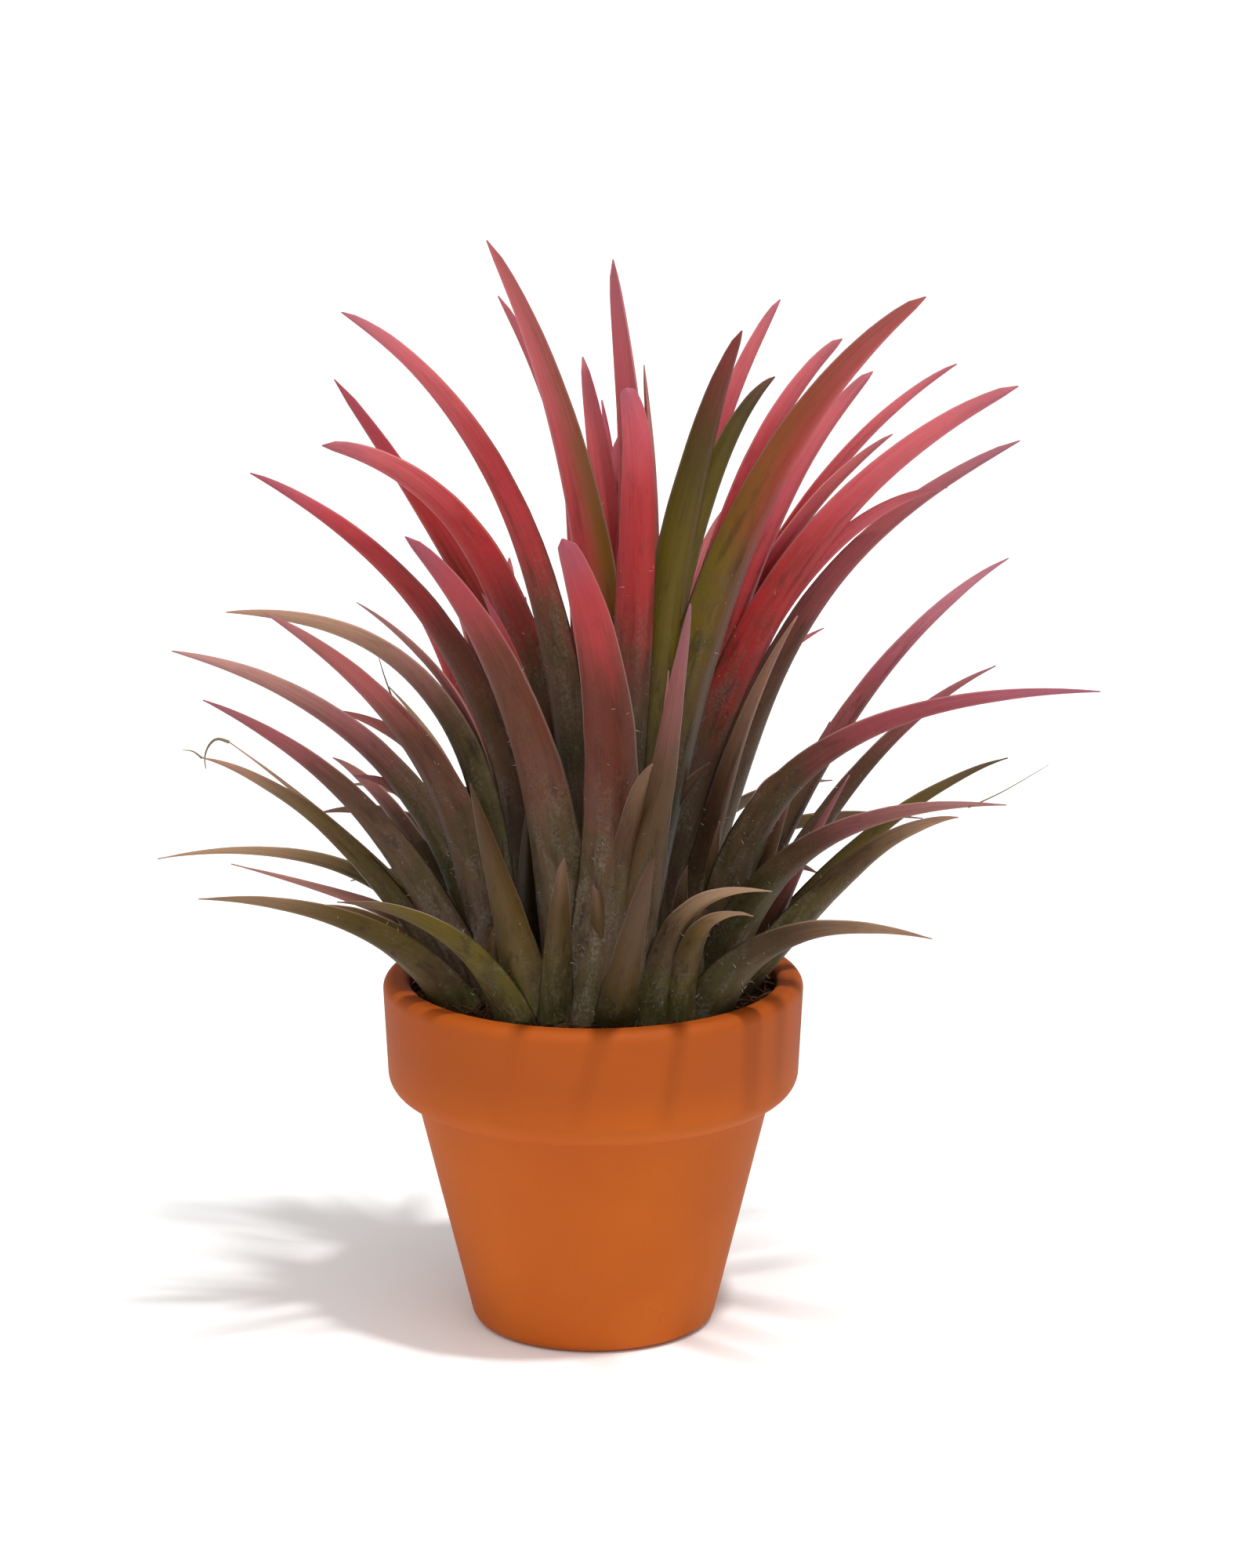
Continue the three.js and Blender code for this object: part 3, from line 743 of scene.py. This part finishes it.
def leafSeeds(name, centre, rows, firstNumber):  # a point for each leaf, with its marks as attributes
    leaves = [leafMarks(centre, row, firstNumber + i) for i, row in enumerate(rows)]
    mesh = bpy.data.meshes.new(name + "_roots")
    mesh.from_pydata([leaf["root"] for leaf in leaves], [], [])
    for key, first in leaves[0].items():
        if isinstance(first, tuple):
            vectors = mesh.attributes.new(key, "FLOAT_VECTOR", "POINT")
            vectors.data.foreach_set("vector", [c for leaf in leaves for c in leaf[key]])
        else:
            numbers = mesh.attributes.new(key, "FLOAT", "POINT")
            numbers.data.foreach_set("value", [leaf[key] for leaf in leaves])
    return mesh


hairShape = {
    "length": 0.55 * mm,
    "radius": 0.028 * mm,
    "density": 4.0e6,  # for each square metre of skin
    "sizes": (0.5, 1.3),
    "lean": ((-0.5, -0.5, -0.3), (0.5, 0.5, 1.0)),
    "skinPull": 0.5,  # how much a hair stands out from the skin
    "edges": (0.75, 0.95, 0.3, 1.0),
    "tuftPace": (9.0, 1.5, 6.1),  # along, across and from leaf to leaf
    "tuftScale": 1.6,
    "tufts": (0.52, 0.68),
    "upTheLeaf": (0.12, 0.75, 1.0, 0.0),
    "seed": 11,
}


def hairs(nodes, blades, start):  # fine silver hairs low on the leaves and along their edges
    s = hairShape
    t, across, number = (named(nodes, name) for name in ("along", "across", "number"))
    long, wide, apart = s["tuftPace"]
    tufts = nodes.noise(nodes.join(t * long, across * wide, number * apart), s["tuftScale"])
    cover = nodes.ramp(across * across, *s["edges"]) * nodes.ramp(tufts, *s["tufts"])
    cover = cover * nodes.ramp(t, *s["upTheLeaf"])
    points = nodes.add("GeometryNodeDistributePointsOnFaces", {"distribute_method": "RANDOM"},
                       {"Mesh": blades, "Density": cover * start.also("Hair density"),
                        "Seed": start.also("Hair seed")})
    hair = nodes.add("GeometryNodeMeshCone", {"fill_type": "NGON"}, {
        "Vertices": 3, "Side Segments": 1, "Radius Top": 0.0, "Radius Bottom": start.also("Hair radius"),
        "Depth": start.also("Hair length")})
    hair = stored(nodes, hair, "hair", 1.0)
    (low, high), (small, large) = s["lean"], s["sizes"]
    spread = nodes.add("FunctionNodeRandomValue", {"data_type": "FLOAT_VECTOR"},
                       {0: low, 1: high, "Seed": start.also("Hair seed")})
    lay = nodes.vector("ADD", nodes.scaled(points.also("Normal"), s["skinPull"]), spread)
    aim = nodes.add("FunctionNodeAlignRotationToVector", {"axis": "Z"}, {"Vector": lay})
    size = nodes.add("FunctionNodeRandomValue", {"data_type": "FLOAT"},
                     {2: small, 3: large, "Seed": start.also("Hair seed")}, 1)
    coat = nodes.add("GeometryNodeInstanceOnPoints", None,
                     {"Points": points, "Instance": hair, "Rotation": aim, "Scale": size})
    return nodes.together(blades, coat)


def bladeTubes(nodes, start):  # a plain tube for each leaf, whose points know their place on it
    tube = nodes.add("GeometryNodeMeshCylinder", {"fill_type": "NGON"}, {
        "Vertices": start.also("Steps around"), "Side Segments": start.also("Steps along"),
        "Radius": 1.0, "Depth": 1.0})
    x, y, z = nodes.split(nodes.add("GeometryNodeInputPosition"))
    tube = stored(nodes, tube, "along", z + 0.5)
    tube = stored(nodes, tube, "across", x)
    tube = stored(nodes, tube, "facing", y)
    tubes = nodes.add("GeometryNodeInstanceOnPoints", None, {"Points": start, "Instance": tube})
    return nodes.add("GeometryNodeRealizeInstances", None, {0: tubes})


def midribLine(nodes, start, t, number):  # its place and its direction
    rootX, rootY, rootZ = nodes.split(named(nodes, "root", "FLOAT_VECTOR"))
    tipX, tipY, tipZ = nodes.split(named(nodes, "tip", "FLOAT_VECTOR"))
    bow, lean, rise = nodes.split(named(nodes, "bend", "FLOAT_VECTOR"))
    outward = t ** bow  # how far the midrib has bent out
    swing = t * (1 - t) * 4
    midrib = nodes.join(rootX + (tipX - rootX) * outward + lean * swing,
                        rootY + (tipY - rootY) * outward,
                        rootZ + (tipZ - rootZ) * t + rise * swing)
    long, apart = leafShape["wanderPace"]
    drift = nodes.noise(nodes.join(t * long, number * apart, 0.0), 1.0, 1.0, 0.5, "Color")
    drift = nodes.vector("SUBTRACT", drift, (0.5, 0.5, 0.5))
    midrib = nodes.vector("ADD", midrib, nodes.scaled(drift, start.also("Wander") * t * 2.0))

    quickening = bow * t ** (bow - 1)
    swingSlope = (1 - t * 2) * 4
    tangent = nodes.vector("NORMALIZE", nodes.join((tipX - rootX) * quickening + lean * swingSlope,
                                                   (tipY - rootY) * quickening,
                                                   (tipZ - rootZ) + rise * swingSlope))
    return midrib, tangent


def bladeDirections(nodes, tangent, t):  # across the blade, and out of its hollow face
    bearingX, bearingY, _ = nodes.split(named(nodes, "bearing", "FLOAT_VECTOR"))
    level = nodes.join(bearingY * -1, bearingX, 0.0)
    level = nodes.vector("SUBTRACT", level, nodes.scaled(tangent, nodes.dot(level, tangent)))
    level = nodes.vector("NORMALIZE", level)
    upper = nodes.vector("CROSS_PRODUCT", tangent, level)
    turn = named(nodes, "turn") + named(nodes, "twist") * t
    side = nodes.vector("ADD", nodes.scaled(level, nodes.one("COSINE", turn)),
                        nodes.scaled(upper, nodes.one("SINE", turn)))
    return side, nodes.vector("CROSS_PRODUCT", tangent, side)


def leafTree(sizes):
    s = leafShape
    tree, nodes, start = newTree("skyPlantLeaves", sizes)
    tubes = bladeTubes(nodes, start)
    t, across, facing, number = (named(nodes, name) for name in ("along", "across", "facing", "number"))
    midrib, tangent = midribLine(nodes, start, t, number)
    side, inner = bladeDirections(nodes, tangent, t)

    flare = nodes.one("EXPONENT", t * -1 / start.also("Flare length")) * start.also("Flare") + 1
    taper = (1 - t).atLeast(0.0) ** named(nodes, "taper")
    long, apart = s["edgePace"]
    waver = (nodes.noise(nodes.join(t * long, number * apart, 0.0), 1.0, 2.0) - 0.5) * s["edgeWave"] + 1
    half = (named(nodes, "width") * 0.5 * flare * taper * waver).atLeast(start.also("Tip half width"))
    thick = start.also("Base thickness") * (1 - t) + start.also("Tip thickness") * t
    thick = thick * (half / (s["thinWidth"] * mm)).atMost(1.0)
    channel = start.also("Channel") * (1 + t * t * s["channelGrowth"])
    hollow = channel * half * across * across
    out = hollow + thick * 0.5 * facing * (1 - across * across * s["crown"])
    place = nodes.vector("ADD", midrib, nodes.scaled(side, half * across))
    place = nodes.vector("ADD", place, nodes.scaled(inner, out))
    blades = nodes.add("GeometryNodeSetPosition", None, {"Geometry": tubes, "Position": place})
    blades = nodes.add("GeometryNodeSetShadeSmooth", None, {"Geometry": blades})
    endTree(nodes, hairs(nodes, blades, start), start)
    return tree


leafLook = {
    "base": colour(90, 84, 50),
    "warmBase": colour(96, 78, 56),
    "middle": colour(88, 59, 42),
    "redMiddle": colour(104, 39, 26),
    "crimson": colour(178, 48, 50),
    "pink": colour(206, 98, 110),
    "dusty": colour(138, 72, 80),
    "dustyTip": colour(190, 124, 144),
    "olive": colour(100, 86, 0),
    "deepGreen": colour(52, 44, 6),
    "dryTip": colour(178, 142, 112),
    "mauve": colour(132, 84, 104),
    "bloom": colour(132, 128, 112),  # the silver scales
    "hair": colour(196, 190, 176),
    # painted highlight along the leaf edges
    "edge": colour(214, 176, 166),
    "moss": colour(70, 62, 30),
    "smoke": colour(92, 66, 60),
    "veinAndShadeDark": colour(34, 20, 12),  # the dark of the veins, and of the painted shade between and under the leaves
    "redBlend": 0.11,
    "paleStart": 0.12,  # how far past the red's start its tone gets pale, and where that ends
    "paleEnd": 0.52,
    "streakShift": 0.2,  # how far a pattern moves a change of colour along the leaf
    "cloudShift": 0.12,
    "dryReach": 0.18,
    "stripeWidth": 0.3,
    "greenHidesSilver": 0.6,
    "most": {"pale": 0.8, "mauve": 0.45, "moss": 0.7, "smoke": 0.5, "hair": 0.85, "shade": 0.75},
    "darkest": 0.85,
    # painted shade on the low leaves, fading out towards the tall ones
    "lowLeaf": 58 * mm,
    "tallLeaf": 88 * mm,
    "lowShade": 0.36,
    "innerRadius": 8 * mm,  # the middle of the clump is in its own shade
    "outerRadius": 19 * mm,
    "innerHeight": 58 * mm,
    "openHeight": 96 * mm,
    "innerShade": 0.9,
    "roughness": 0.5,
    "silverRoughness": 0.3,
    "shine": 0.22,
    "reliefStrength": 0.4,
    "reliefDepth": 0.25 * mm,
}

# Noise that follows the leaf: its pace across, along and from leaf to leaf, then its scale,
# detail and roughness. Noise in space has only the last three.
leafNoise = {
    "streak": (2.5, 1.6, 5.7, 3.0, 4.0, 0.6),
    "veins": (11.0, 2.5, 3.3, 1.6, 3.0, 0.6),
    "mottle": (1.3, 6.0, 4.1, 1.8, 4.0, 0.65),
    "frost": (2.0, 9.0, 9.7, 1.4, 3.0, 0.6),
}
spaceNoise = {
    "cloud": (160.0, 3.0, 0.6),
    "scales": (2600.0, 2.0, 0.7),
    "drift": (95.0, 3.0, 0.6),
}

# Where each change starts and ends, then its value before and after, if those aren't 0 and 1.
leafRamps = {
    # along the leaf, from 0 at its root to 1 at its tip
    "middle": (0.2, 0.6),
    "green": (0.0, 0.4, 0.35, 0.95),
    "deepGreen": (0.55, 0.95),
    "stripeEnd": (0.68, 0.92),
    "mauve": (0.86, 1.0),
    "dryTip": (0.6, 0.98),
    "foot": (0.25, 0.75, 1.0, 0.0),
    # mottled painted shade, deepest near the root
    "shadePatches": (0.35, 0.85, 0.65, 0.14),
    "silver": (0.1, 0.65, 0.75, 0.05),
    "leafShade": (0.4, 0.85, 0.4, 0.06),
    "lowShade": (0.6, 0.95, 1.0, 0.0),
    # painted highlight along the edges higher up, painted shade along them near the root
    "paintedEdgeHighlight": (0.3, 0.7, 0.0, 0.3),
    "paintedEdgeShade": (0.2, 0.65, 0.85, 0.0),
    # across the leaf, where its edges lie at -1 and 1
    "stripe": (-0.25, 0.25),
    "paintedEdgeMask": (0.86, 1.0),  # of the place across, squared
    # with the strength of the leaf's red
    "faint": (0.0, 0.3),
    "warm": (0.15, 0.5),
    "vivid": (0.3, 0.9),
    "mauveStrength": (0.05, 0.4),
    "lowStrength": (0.15, 0.5, 1.0, 0.4),
    # with the noise that makes a pattern
    "moss": (0.5, 0.62),
    "smoke": (0.38, 0.48, 1.0, 0.0),
    "mottle": (0.5, 0.72),
    "veins": (0.5, 0.75, 0.0, 0.22),
    "scales": (0.35, 0.7),
    "frost": (0.42, 0.68, 0.12, 1.0),
}


def leafValues(nodes):  # what each leaf carries, and the patterns that run over it
    leaf = {name: nodes.attribute(name) for name in ("along", "across", "number", "dry", "stripe", "hair")}
    leaf["red"], leaf["strength"], leaf["green"] = nodes.split(nodes.attribute("tint", "Vector"))
    leaf["tipHeight"] = nodes.split(nodes.attribute("tip", "Vector"))[2]
    leaf["place"] = nodes.objectPlace()
    for name, (wide, long, apart, *noise) in leafNoise.items():
        laid = nodes.join(leaf["across"] * wide, leaf["along"] * long, leaf["number"] * apart)
        leaf[name] = nodes.noise(laid, *noise)
    for name, noise in spaceNoise.items():
        leaf[name] = nodes.noise(leaf["place"], *noise)
    leaf["shift"] = (leaf["streak"] - 0.5) * leafLook["streakShift"]
    leaf["height"] = leaf["along"] + leaf["shift"] + (leaf["cloud"] - 0.5) * leafLook["cloudShift"]
    return leaf


def picked(leaf, names):
    return [leaf[name] for name in names.split()]


def greenCover(nodes, leaf, oneEdge):  # how green each place is, towards one edge if it is striped
    height, across, green, stripe = picked(leaf, "height across green stripe")
    oneSide = nodes.ramp(across * stripe + leafLook["stripeWidth"] - oneEdge, *leafRamps["stripe"])
    cover = green * oneSide * nodes.ramp(height, *leafRamps["green"])
    return cover * (1 - oneEdge * nodes.ramp(height, *leafRamps["stripeEnd"]))


def bladeTone(nodes, leaf, cover, oneEdge):  # the clean leaf: base, middle, green, red and tip
    look, ramps, most = leafLook, leafRamps, leafLook["most"]
    along, height, shift, dry = picked(leaf, "along height shift dry")
    red, strength, green = picked(leaf, "red strength green")
    line = 1 - red  # where the red begins
    blend = look["redBlend"]
    vivid = nodes.ramp(strength, *ramps["vivid"])
    middle = nodes.mixed(vivid, look["middle"], look["redMiddle"])
    base = nodes.mixed(nodes.ramp(strength, *ramps["warm"]), look["base"], look["warmBase"])
    tone = nodes.mixed(nodes.ramp(height, *ramps["middle"]), base, middle)
    greenTone = nodes.mixed(nodes.ramp(height, *ramps["deepGreen"]), look["olive"], look["deepGreen"])
    tone = nodes.mixed(cover, tone, greenTone)

    redness = nodes.ramp(height, line - blend, line + blend) * nodes.ramp(strength, *ramps["faint"])
    redTone = nodes.mixed(vivid, look["dusty"], look["crimson"])
    paleTone = nodes.mixed(vivid, look["dustyTip"], look["pink"])
    pale = nodes.ramp(height, line + look["paleStart"], line + look["paleEnd"]) * most["pale"]
    redTone = nodes.mixed(pale, redTone, paleTone)
    tone = nodes.mixed(redness * (1 - (cover * (0.5 + oneEdge)).atMost(1.0)), tone, redTone)
    mauve = nodes.ramp(along, *ramps["mauve"]) * nodes.ramp(strength, *ramps["mauveStrength"])
    tone = nodes.mixed(mauve * most["mauve"] * (1 - green), tone, look["mauve"])
    dried = nodes.ramp(along + shift + dry * look["dryReach"], *ramps["dryTip"]) * dry
    return nodes.mixed(dried, tone, look["dryTip"])


def rootMarks(nodes, leaf, tone):  # moss and smoky patches low down, mottled patches of painted shade deepest near the root, and dark veins
    ramps, most, veinAndShadeDark = leafRamps, leafLook["most"], leafLook["veinAndShadeDark"]
    along, drift, mottle, veins = picked(leaf, "along drift mottle veins")
    foot = nodes.ramp(along, *ramps["foot"])
    tone = nodes.mixed(nodes.ramp(drift, *ramps["moss"]) * foot * most["moss"], tone, leafLook["moss"])
    tone = nodes.mixed(nodes.ramp(drift, *ramps["smoke"]) * foot * most["smoke"], tone, leafLook["smoke"])
    shadePatches = nodes.ramp(mottle, *ramps["mottle"]) * nodes.ramp(along, *ramps["shadePatches"])
    return nodes.mixed(nodes.ramp(veins, *ramps["veins"]), nodes.mixed(shadePatches, tone, veinAndShadeDark), veinAndShadeDark)


def silverCover(nodes, leaf, cover):  # the scales, in bands, thickest low on the leaf
    along, scales, frost = picked(leaf, "along scales frost")
    lower = nodes.ramp(along, *leafRamps["silver"])
    silver = nodes.ramp(scales, *leafRamps["scales"]) * lower * nodes.ramp(frost, *leafRamps["frost"])
    return silver * (1 - cover * leafLook["greenHidesSilver"])


def clumpShade(nodes, leaf):  # 0 out in the open, more in the middle of the clump
    look = leafLook
    x, y, z = nodes.split(leaf["place"])
    fromAxis = nodes.one("SQRT", (x - axisX) * (x - axisX) + (y - axisY) * (y - axisY))
    inside = nodes.ramp(fromAxis, look["innerRadius"], look["outerRadius"], look["innerShade"], 0.0)
    return inside * nodes.ramp(z, look["innerHeight"], look["openHeight"], 1.0, 0.0)


def leafShade(nodes, leaf):  # differs at random from leaf to leaf, and adds painted shade to the low leaves, over all but their tips
    look, ramps = leafLook, leafRamps
    along, number, strength, tipHeight = picked(leaf, "along number strength tipHeight")
    own = nodes.add("ShaderNodeTexWhiteNoise", {"noise_dimensions": "1D"}, {"W": number}, "Value")
    low = nodes.ramp(tipHeight, look["lowLeaf"], look["tallLeaf"], look["lowShade"], 0.0)
    low = low * nodes.ramp(strength, *ramps["lowStrength"])
    return own * nodes.ramp(along, *ramps["leafShade"]) + low * nodes.ramp(along, *ramps["lowShade"])


def leafSkin(nodes):
    look, ramps, most = leafLook, leafRamps, leafLook["most"]
    leaf = leafValues(nodes)
    oneEdge = nodes.one("ABSOLUTE", leaf["stripe"])
    cover = greenCover(nodes, leaf, oneEdge)
    silver = silverCover(nodes, leaf, cover)
    tone = rootMarks(nodes, leaf, bladeTone(nodes, leaf, cover, oneEdge))
    tone = nodes.mixed(silver, tone, look["bloom"])

    # painted shade: darker in the middle of the clump and on the low leaves, with a random part from leaf to
    # leaf
    inside = clumpShade(nodes, leaf)
    dim = leafShade(nodes, leaf).atLeast(inside).atMost(look["darkest"])
    tone = nodes.mixed(dim * most["shade"], tone, look["veinAndShadeDark"])
    along, across, hair = picked(leaf, "along across hair")
    # painted highlight along the leaf edges higher up, painted shade along them near the root
    paintedEdgeMask = nodes.ramp(across * across, *ramps["paintedEdgeMask"])
    tone = nodes.mixed(paintedEdgeMask * nodes.ramp(along, *ramps["paintedEdgeHighlight"]), tone, look["edge"])
    tone = nodes.mixed(paintedEdgeMask * nodes.ramp(along, *ramps["paintedEdgeShade"]), tone, look["veinAndShadeDark"])
    # the hairs fade in the painted shade inside the clump
    tone = nodes.mixed(hair * (1 - inside) * most["hair"], tone, look["hair"])

    relief = leaf["veins"] * 0.4 + leaf["scales"] * 0.25 + leaf["streak"] * 0.4
    return {
        "Base Color": tone,
        "Roughness": look["roughness"] + silver * look["silverRoughness"],
        "Normal": nodes.bump(relief, look["reliefStrength"], look["reliefDepth"]),
        "Specular IOR Level": look["shine"],
    }


def makeHeads():
    s = leafShape
    sizes = {
        "Steps along": s["alongSteps"],
        "Steps around": s["aroundSteps"],
        "Flare": s["flare"],
        "Flare length": s["flareLength"],
        "Base thickness": s["baseThickness"] * mm,
        "Tip thickness": s["tipThickness"] * mm,
        "Tip half width": s["tipHalfWidth"] * mm,
        "Channel": s["channel"],
        "Wander": s["wander"] * mm,
        "Material": newMaterial("leaf_skin", leafSkin),
    }
    for key in ("length", "radius", "density", "seed"):
        sizes["Hair " + key] = hairShape[key]
    tree = leafTree(sizes)
    for name, (centre, rows, firstNumber) in headRows().items():
        seeds = leafSeeds(name, centre, rows, firstNumber)
        piece = grown("leaves_" + name, seeds, tree, sizes)
        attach(piece, "root")
        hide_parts("head_" + name)
        print("head", name + ":", len(rows), "leaves,", len(piece.data.polygons), "faces")


# Dry threads at the ends of a few old leaves: the start and end radius, then points along it,
# all in the pot's millimetres.
dryThreads = [
    (0.22, 0.06, [(-42.8, 0, 71), (-44.2, 0, 71.4), (-45.2, 0, 70.6), (-45.7, 0, 69.2), (-45.6, 0, 67.8)]),
    (0.1, 0.03, [(42.2, -30.8, 70.9), (46, -32.4, 73.2), (50.8, -34, 76.6)]),
    (0.12, 0.03, [(-23.6, 0, 76.5), (-24.6, 0, 79.5), (-25.4, 0, 82.6)]),
    (0.14, 0.04, [(-45, -12, 72), (-46, -12.4, 72.9), (-47.2, -12.6, 73.1)]),
]
threadShape = {
    "steps": 14,
    "sides": 5,
    "dark": colour(84, 70, 50),
    "pale": colour(140, 118, 92),
    "grainScale": 900.0,
    "roughness": 0.7,
}


def threadMesh():
    places, edges, radii = [], [], []
    for first, last, points in dryThreads:
        for i, (x, y, z) in enumerate(points):
            if i > 0:
                edges.append((len(places) - 1, len(places)))
            places.append((axisX + x * mm, axisY + y * mm, z * mm))
            radii.append(between((first, last), i / (len(points) - 1)) * mm)
    mesh = bpy.data.meshes.new("dry_threads")
    mesh.from_pydata(places, edges, [])
    mesh.attributes.new("thick", "FLOAT", "POINT").data.foreach_set("value", radii)
    return mesh


def threadTree(sizes):
    tree, nodes, start = newTree("dryThreads", sizes)
    line = nodes.add("GeometryNodeMeshToCurve", None, {"Mesh": start})
    line = nodes.add("GeometryNodeCurveSplineType", {"spline_type": "CATMULL_ROM"}, {"Curve": line})
    line = nodes.add("GeometryNodeResampleCurve", None, {"Curve": line, "Count": start.also("Steps")})
    ring = nodes.add("GeometryNodeCurvePrimitiveCircle", None,
                     {"Resolution": start.also("Sides"), "Radius": 1.0})
    tube = nodes.add("GeometryNodeCurveToMesh", None, {
        "Curve": line, "Profile Curve": ring, "Scale": named(nodes, "thick"), "Fill Caps": True})
    endTree(nodes, tube, start)
    return tree


def threadSkin(nodes):
    s = threadShape
    tone = nodes.mixed(nodes.noise(nodes.objectPlace(), s["grainScale"]), s["dark"], s["pale"])
    return {"Base Color": tone, "Roughness": s["roughness"]}


def makeThreads():
    sizes = {
        "Steps": threadShape["steps"],
        "Sides": threadShape["sides"],
        "Material": newMaterial("dry_thread", threadSkin),
    }
    piece = grown("dry_threads", threadMesh(), threadTree(sizes), sizes)
    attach(piece, "root")
    print("threads added:", len(piece.data.polygons), "faces")


studio = {
    "floorSize": 8.0,
    "floorLook": {"Base Color": colour(252, 252, 251), "Roughness": 0.8, "Specular IOR Level": 0.1},
    "pitch": 13.96,
    "distance": 600.7 * mm,
    "aimHeight": 65.95 * mm,
    "aimRight": 4.02 * mm,
    "lens": 117.0,
    "sensor": 36.0,
    "nearest": 0.01,
    "farthest": 50.0,
    "skyStrength": 0.38,
    "suns": {  # bearing, height, strength, softness
        "key": (-44, 70, 2.0, 5),
        "wide": (-70, 50, 0.7, 90),
        "fill": (-130, 48, 0.8, 90),
    },
}


def makeFloor():
    half = studio["floorSize"] / 2
    corners = [(-half, -half, 0), (half, -half, 0), (half, half, 0), (-half, half, 0)]
    mesh = bpy.data.meshes.new("floor")
    mesh.from_pydata(corners, [], [(0, 1, 2, 3)])
    floor = newPiece("floor", mesh)
    floor.data.materials.append(newMaterial("pale_floor", lambda nodes: studio["floorLook"]))


def sunLight(name, bearing, height, strength, softness):  # bearing from the right, towards the back
    lamp = bpy.data.lights.new(name, "SUN")
    lamp.energy = strength
    lamp.angle = math.radians(softness)
    light = bpy.data.objects.new(name, lamp)
    bpy.context.scene.collection.objects.link(light)
    light.rotation_euler = (math.radians(90 - height), 0.0, math.radians(bearing + 90))


def makeLights():
    world = bpy.data.worlds.new("studio")
    bpy.context.scene.world = world
    world.use_nodes = True
    background = world.node_tree.nodes["Background"]
    background.inputs["Color"].default_value = (1.0, 1.0, 1.0, 1.0)
    background.inputs["Strength"].default_value = studio["skyStrength"]
    for name, values in studio["suns"].items():
        sunLight(name, *values)


def makeCamera():
    s = studio
    pitch = math.radians(s["pitch"])
    data = bpy.data.cameras.new("camera")
    data.lens = s["lens"]
    data.sensor_width = s["sensor"]
    data.clip_start = s["nearest"]
    data.clip_end = s["farthest"]
    camera = bpy.data.objects.new("camera", data)
    bpy.context.scene.collection.objects.link(camera)
    camera.location = (axisX + s["aimRight"], axisY - s["distance"] * math.cos(pitch),
                       s["aimHeight"] + s["distance"] * math.sin(pitch))
    camera.rotation_euler = (math.pi / 2 - pitch, 0.0, 0.0)
    bpy.context.scene.camera = camera


makePot()
makeFill()
makeHeads()
makeThreads()
makeFloor()
makeLights()
makeCamera()
bpy.context.scene.view_settings.view_transform = "Standard"
print("floor, lights and camera set")
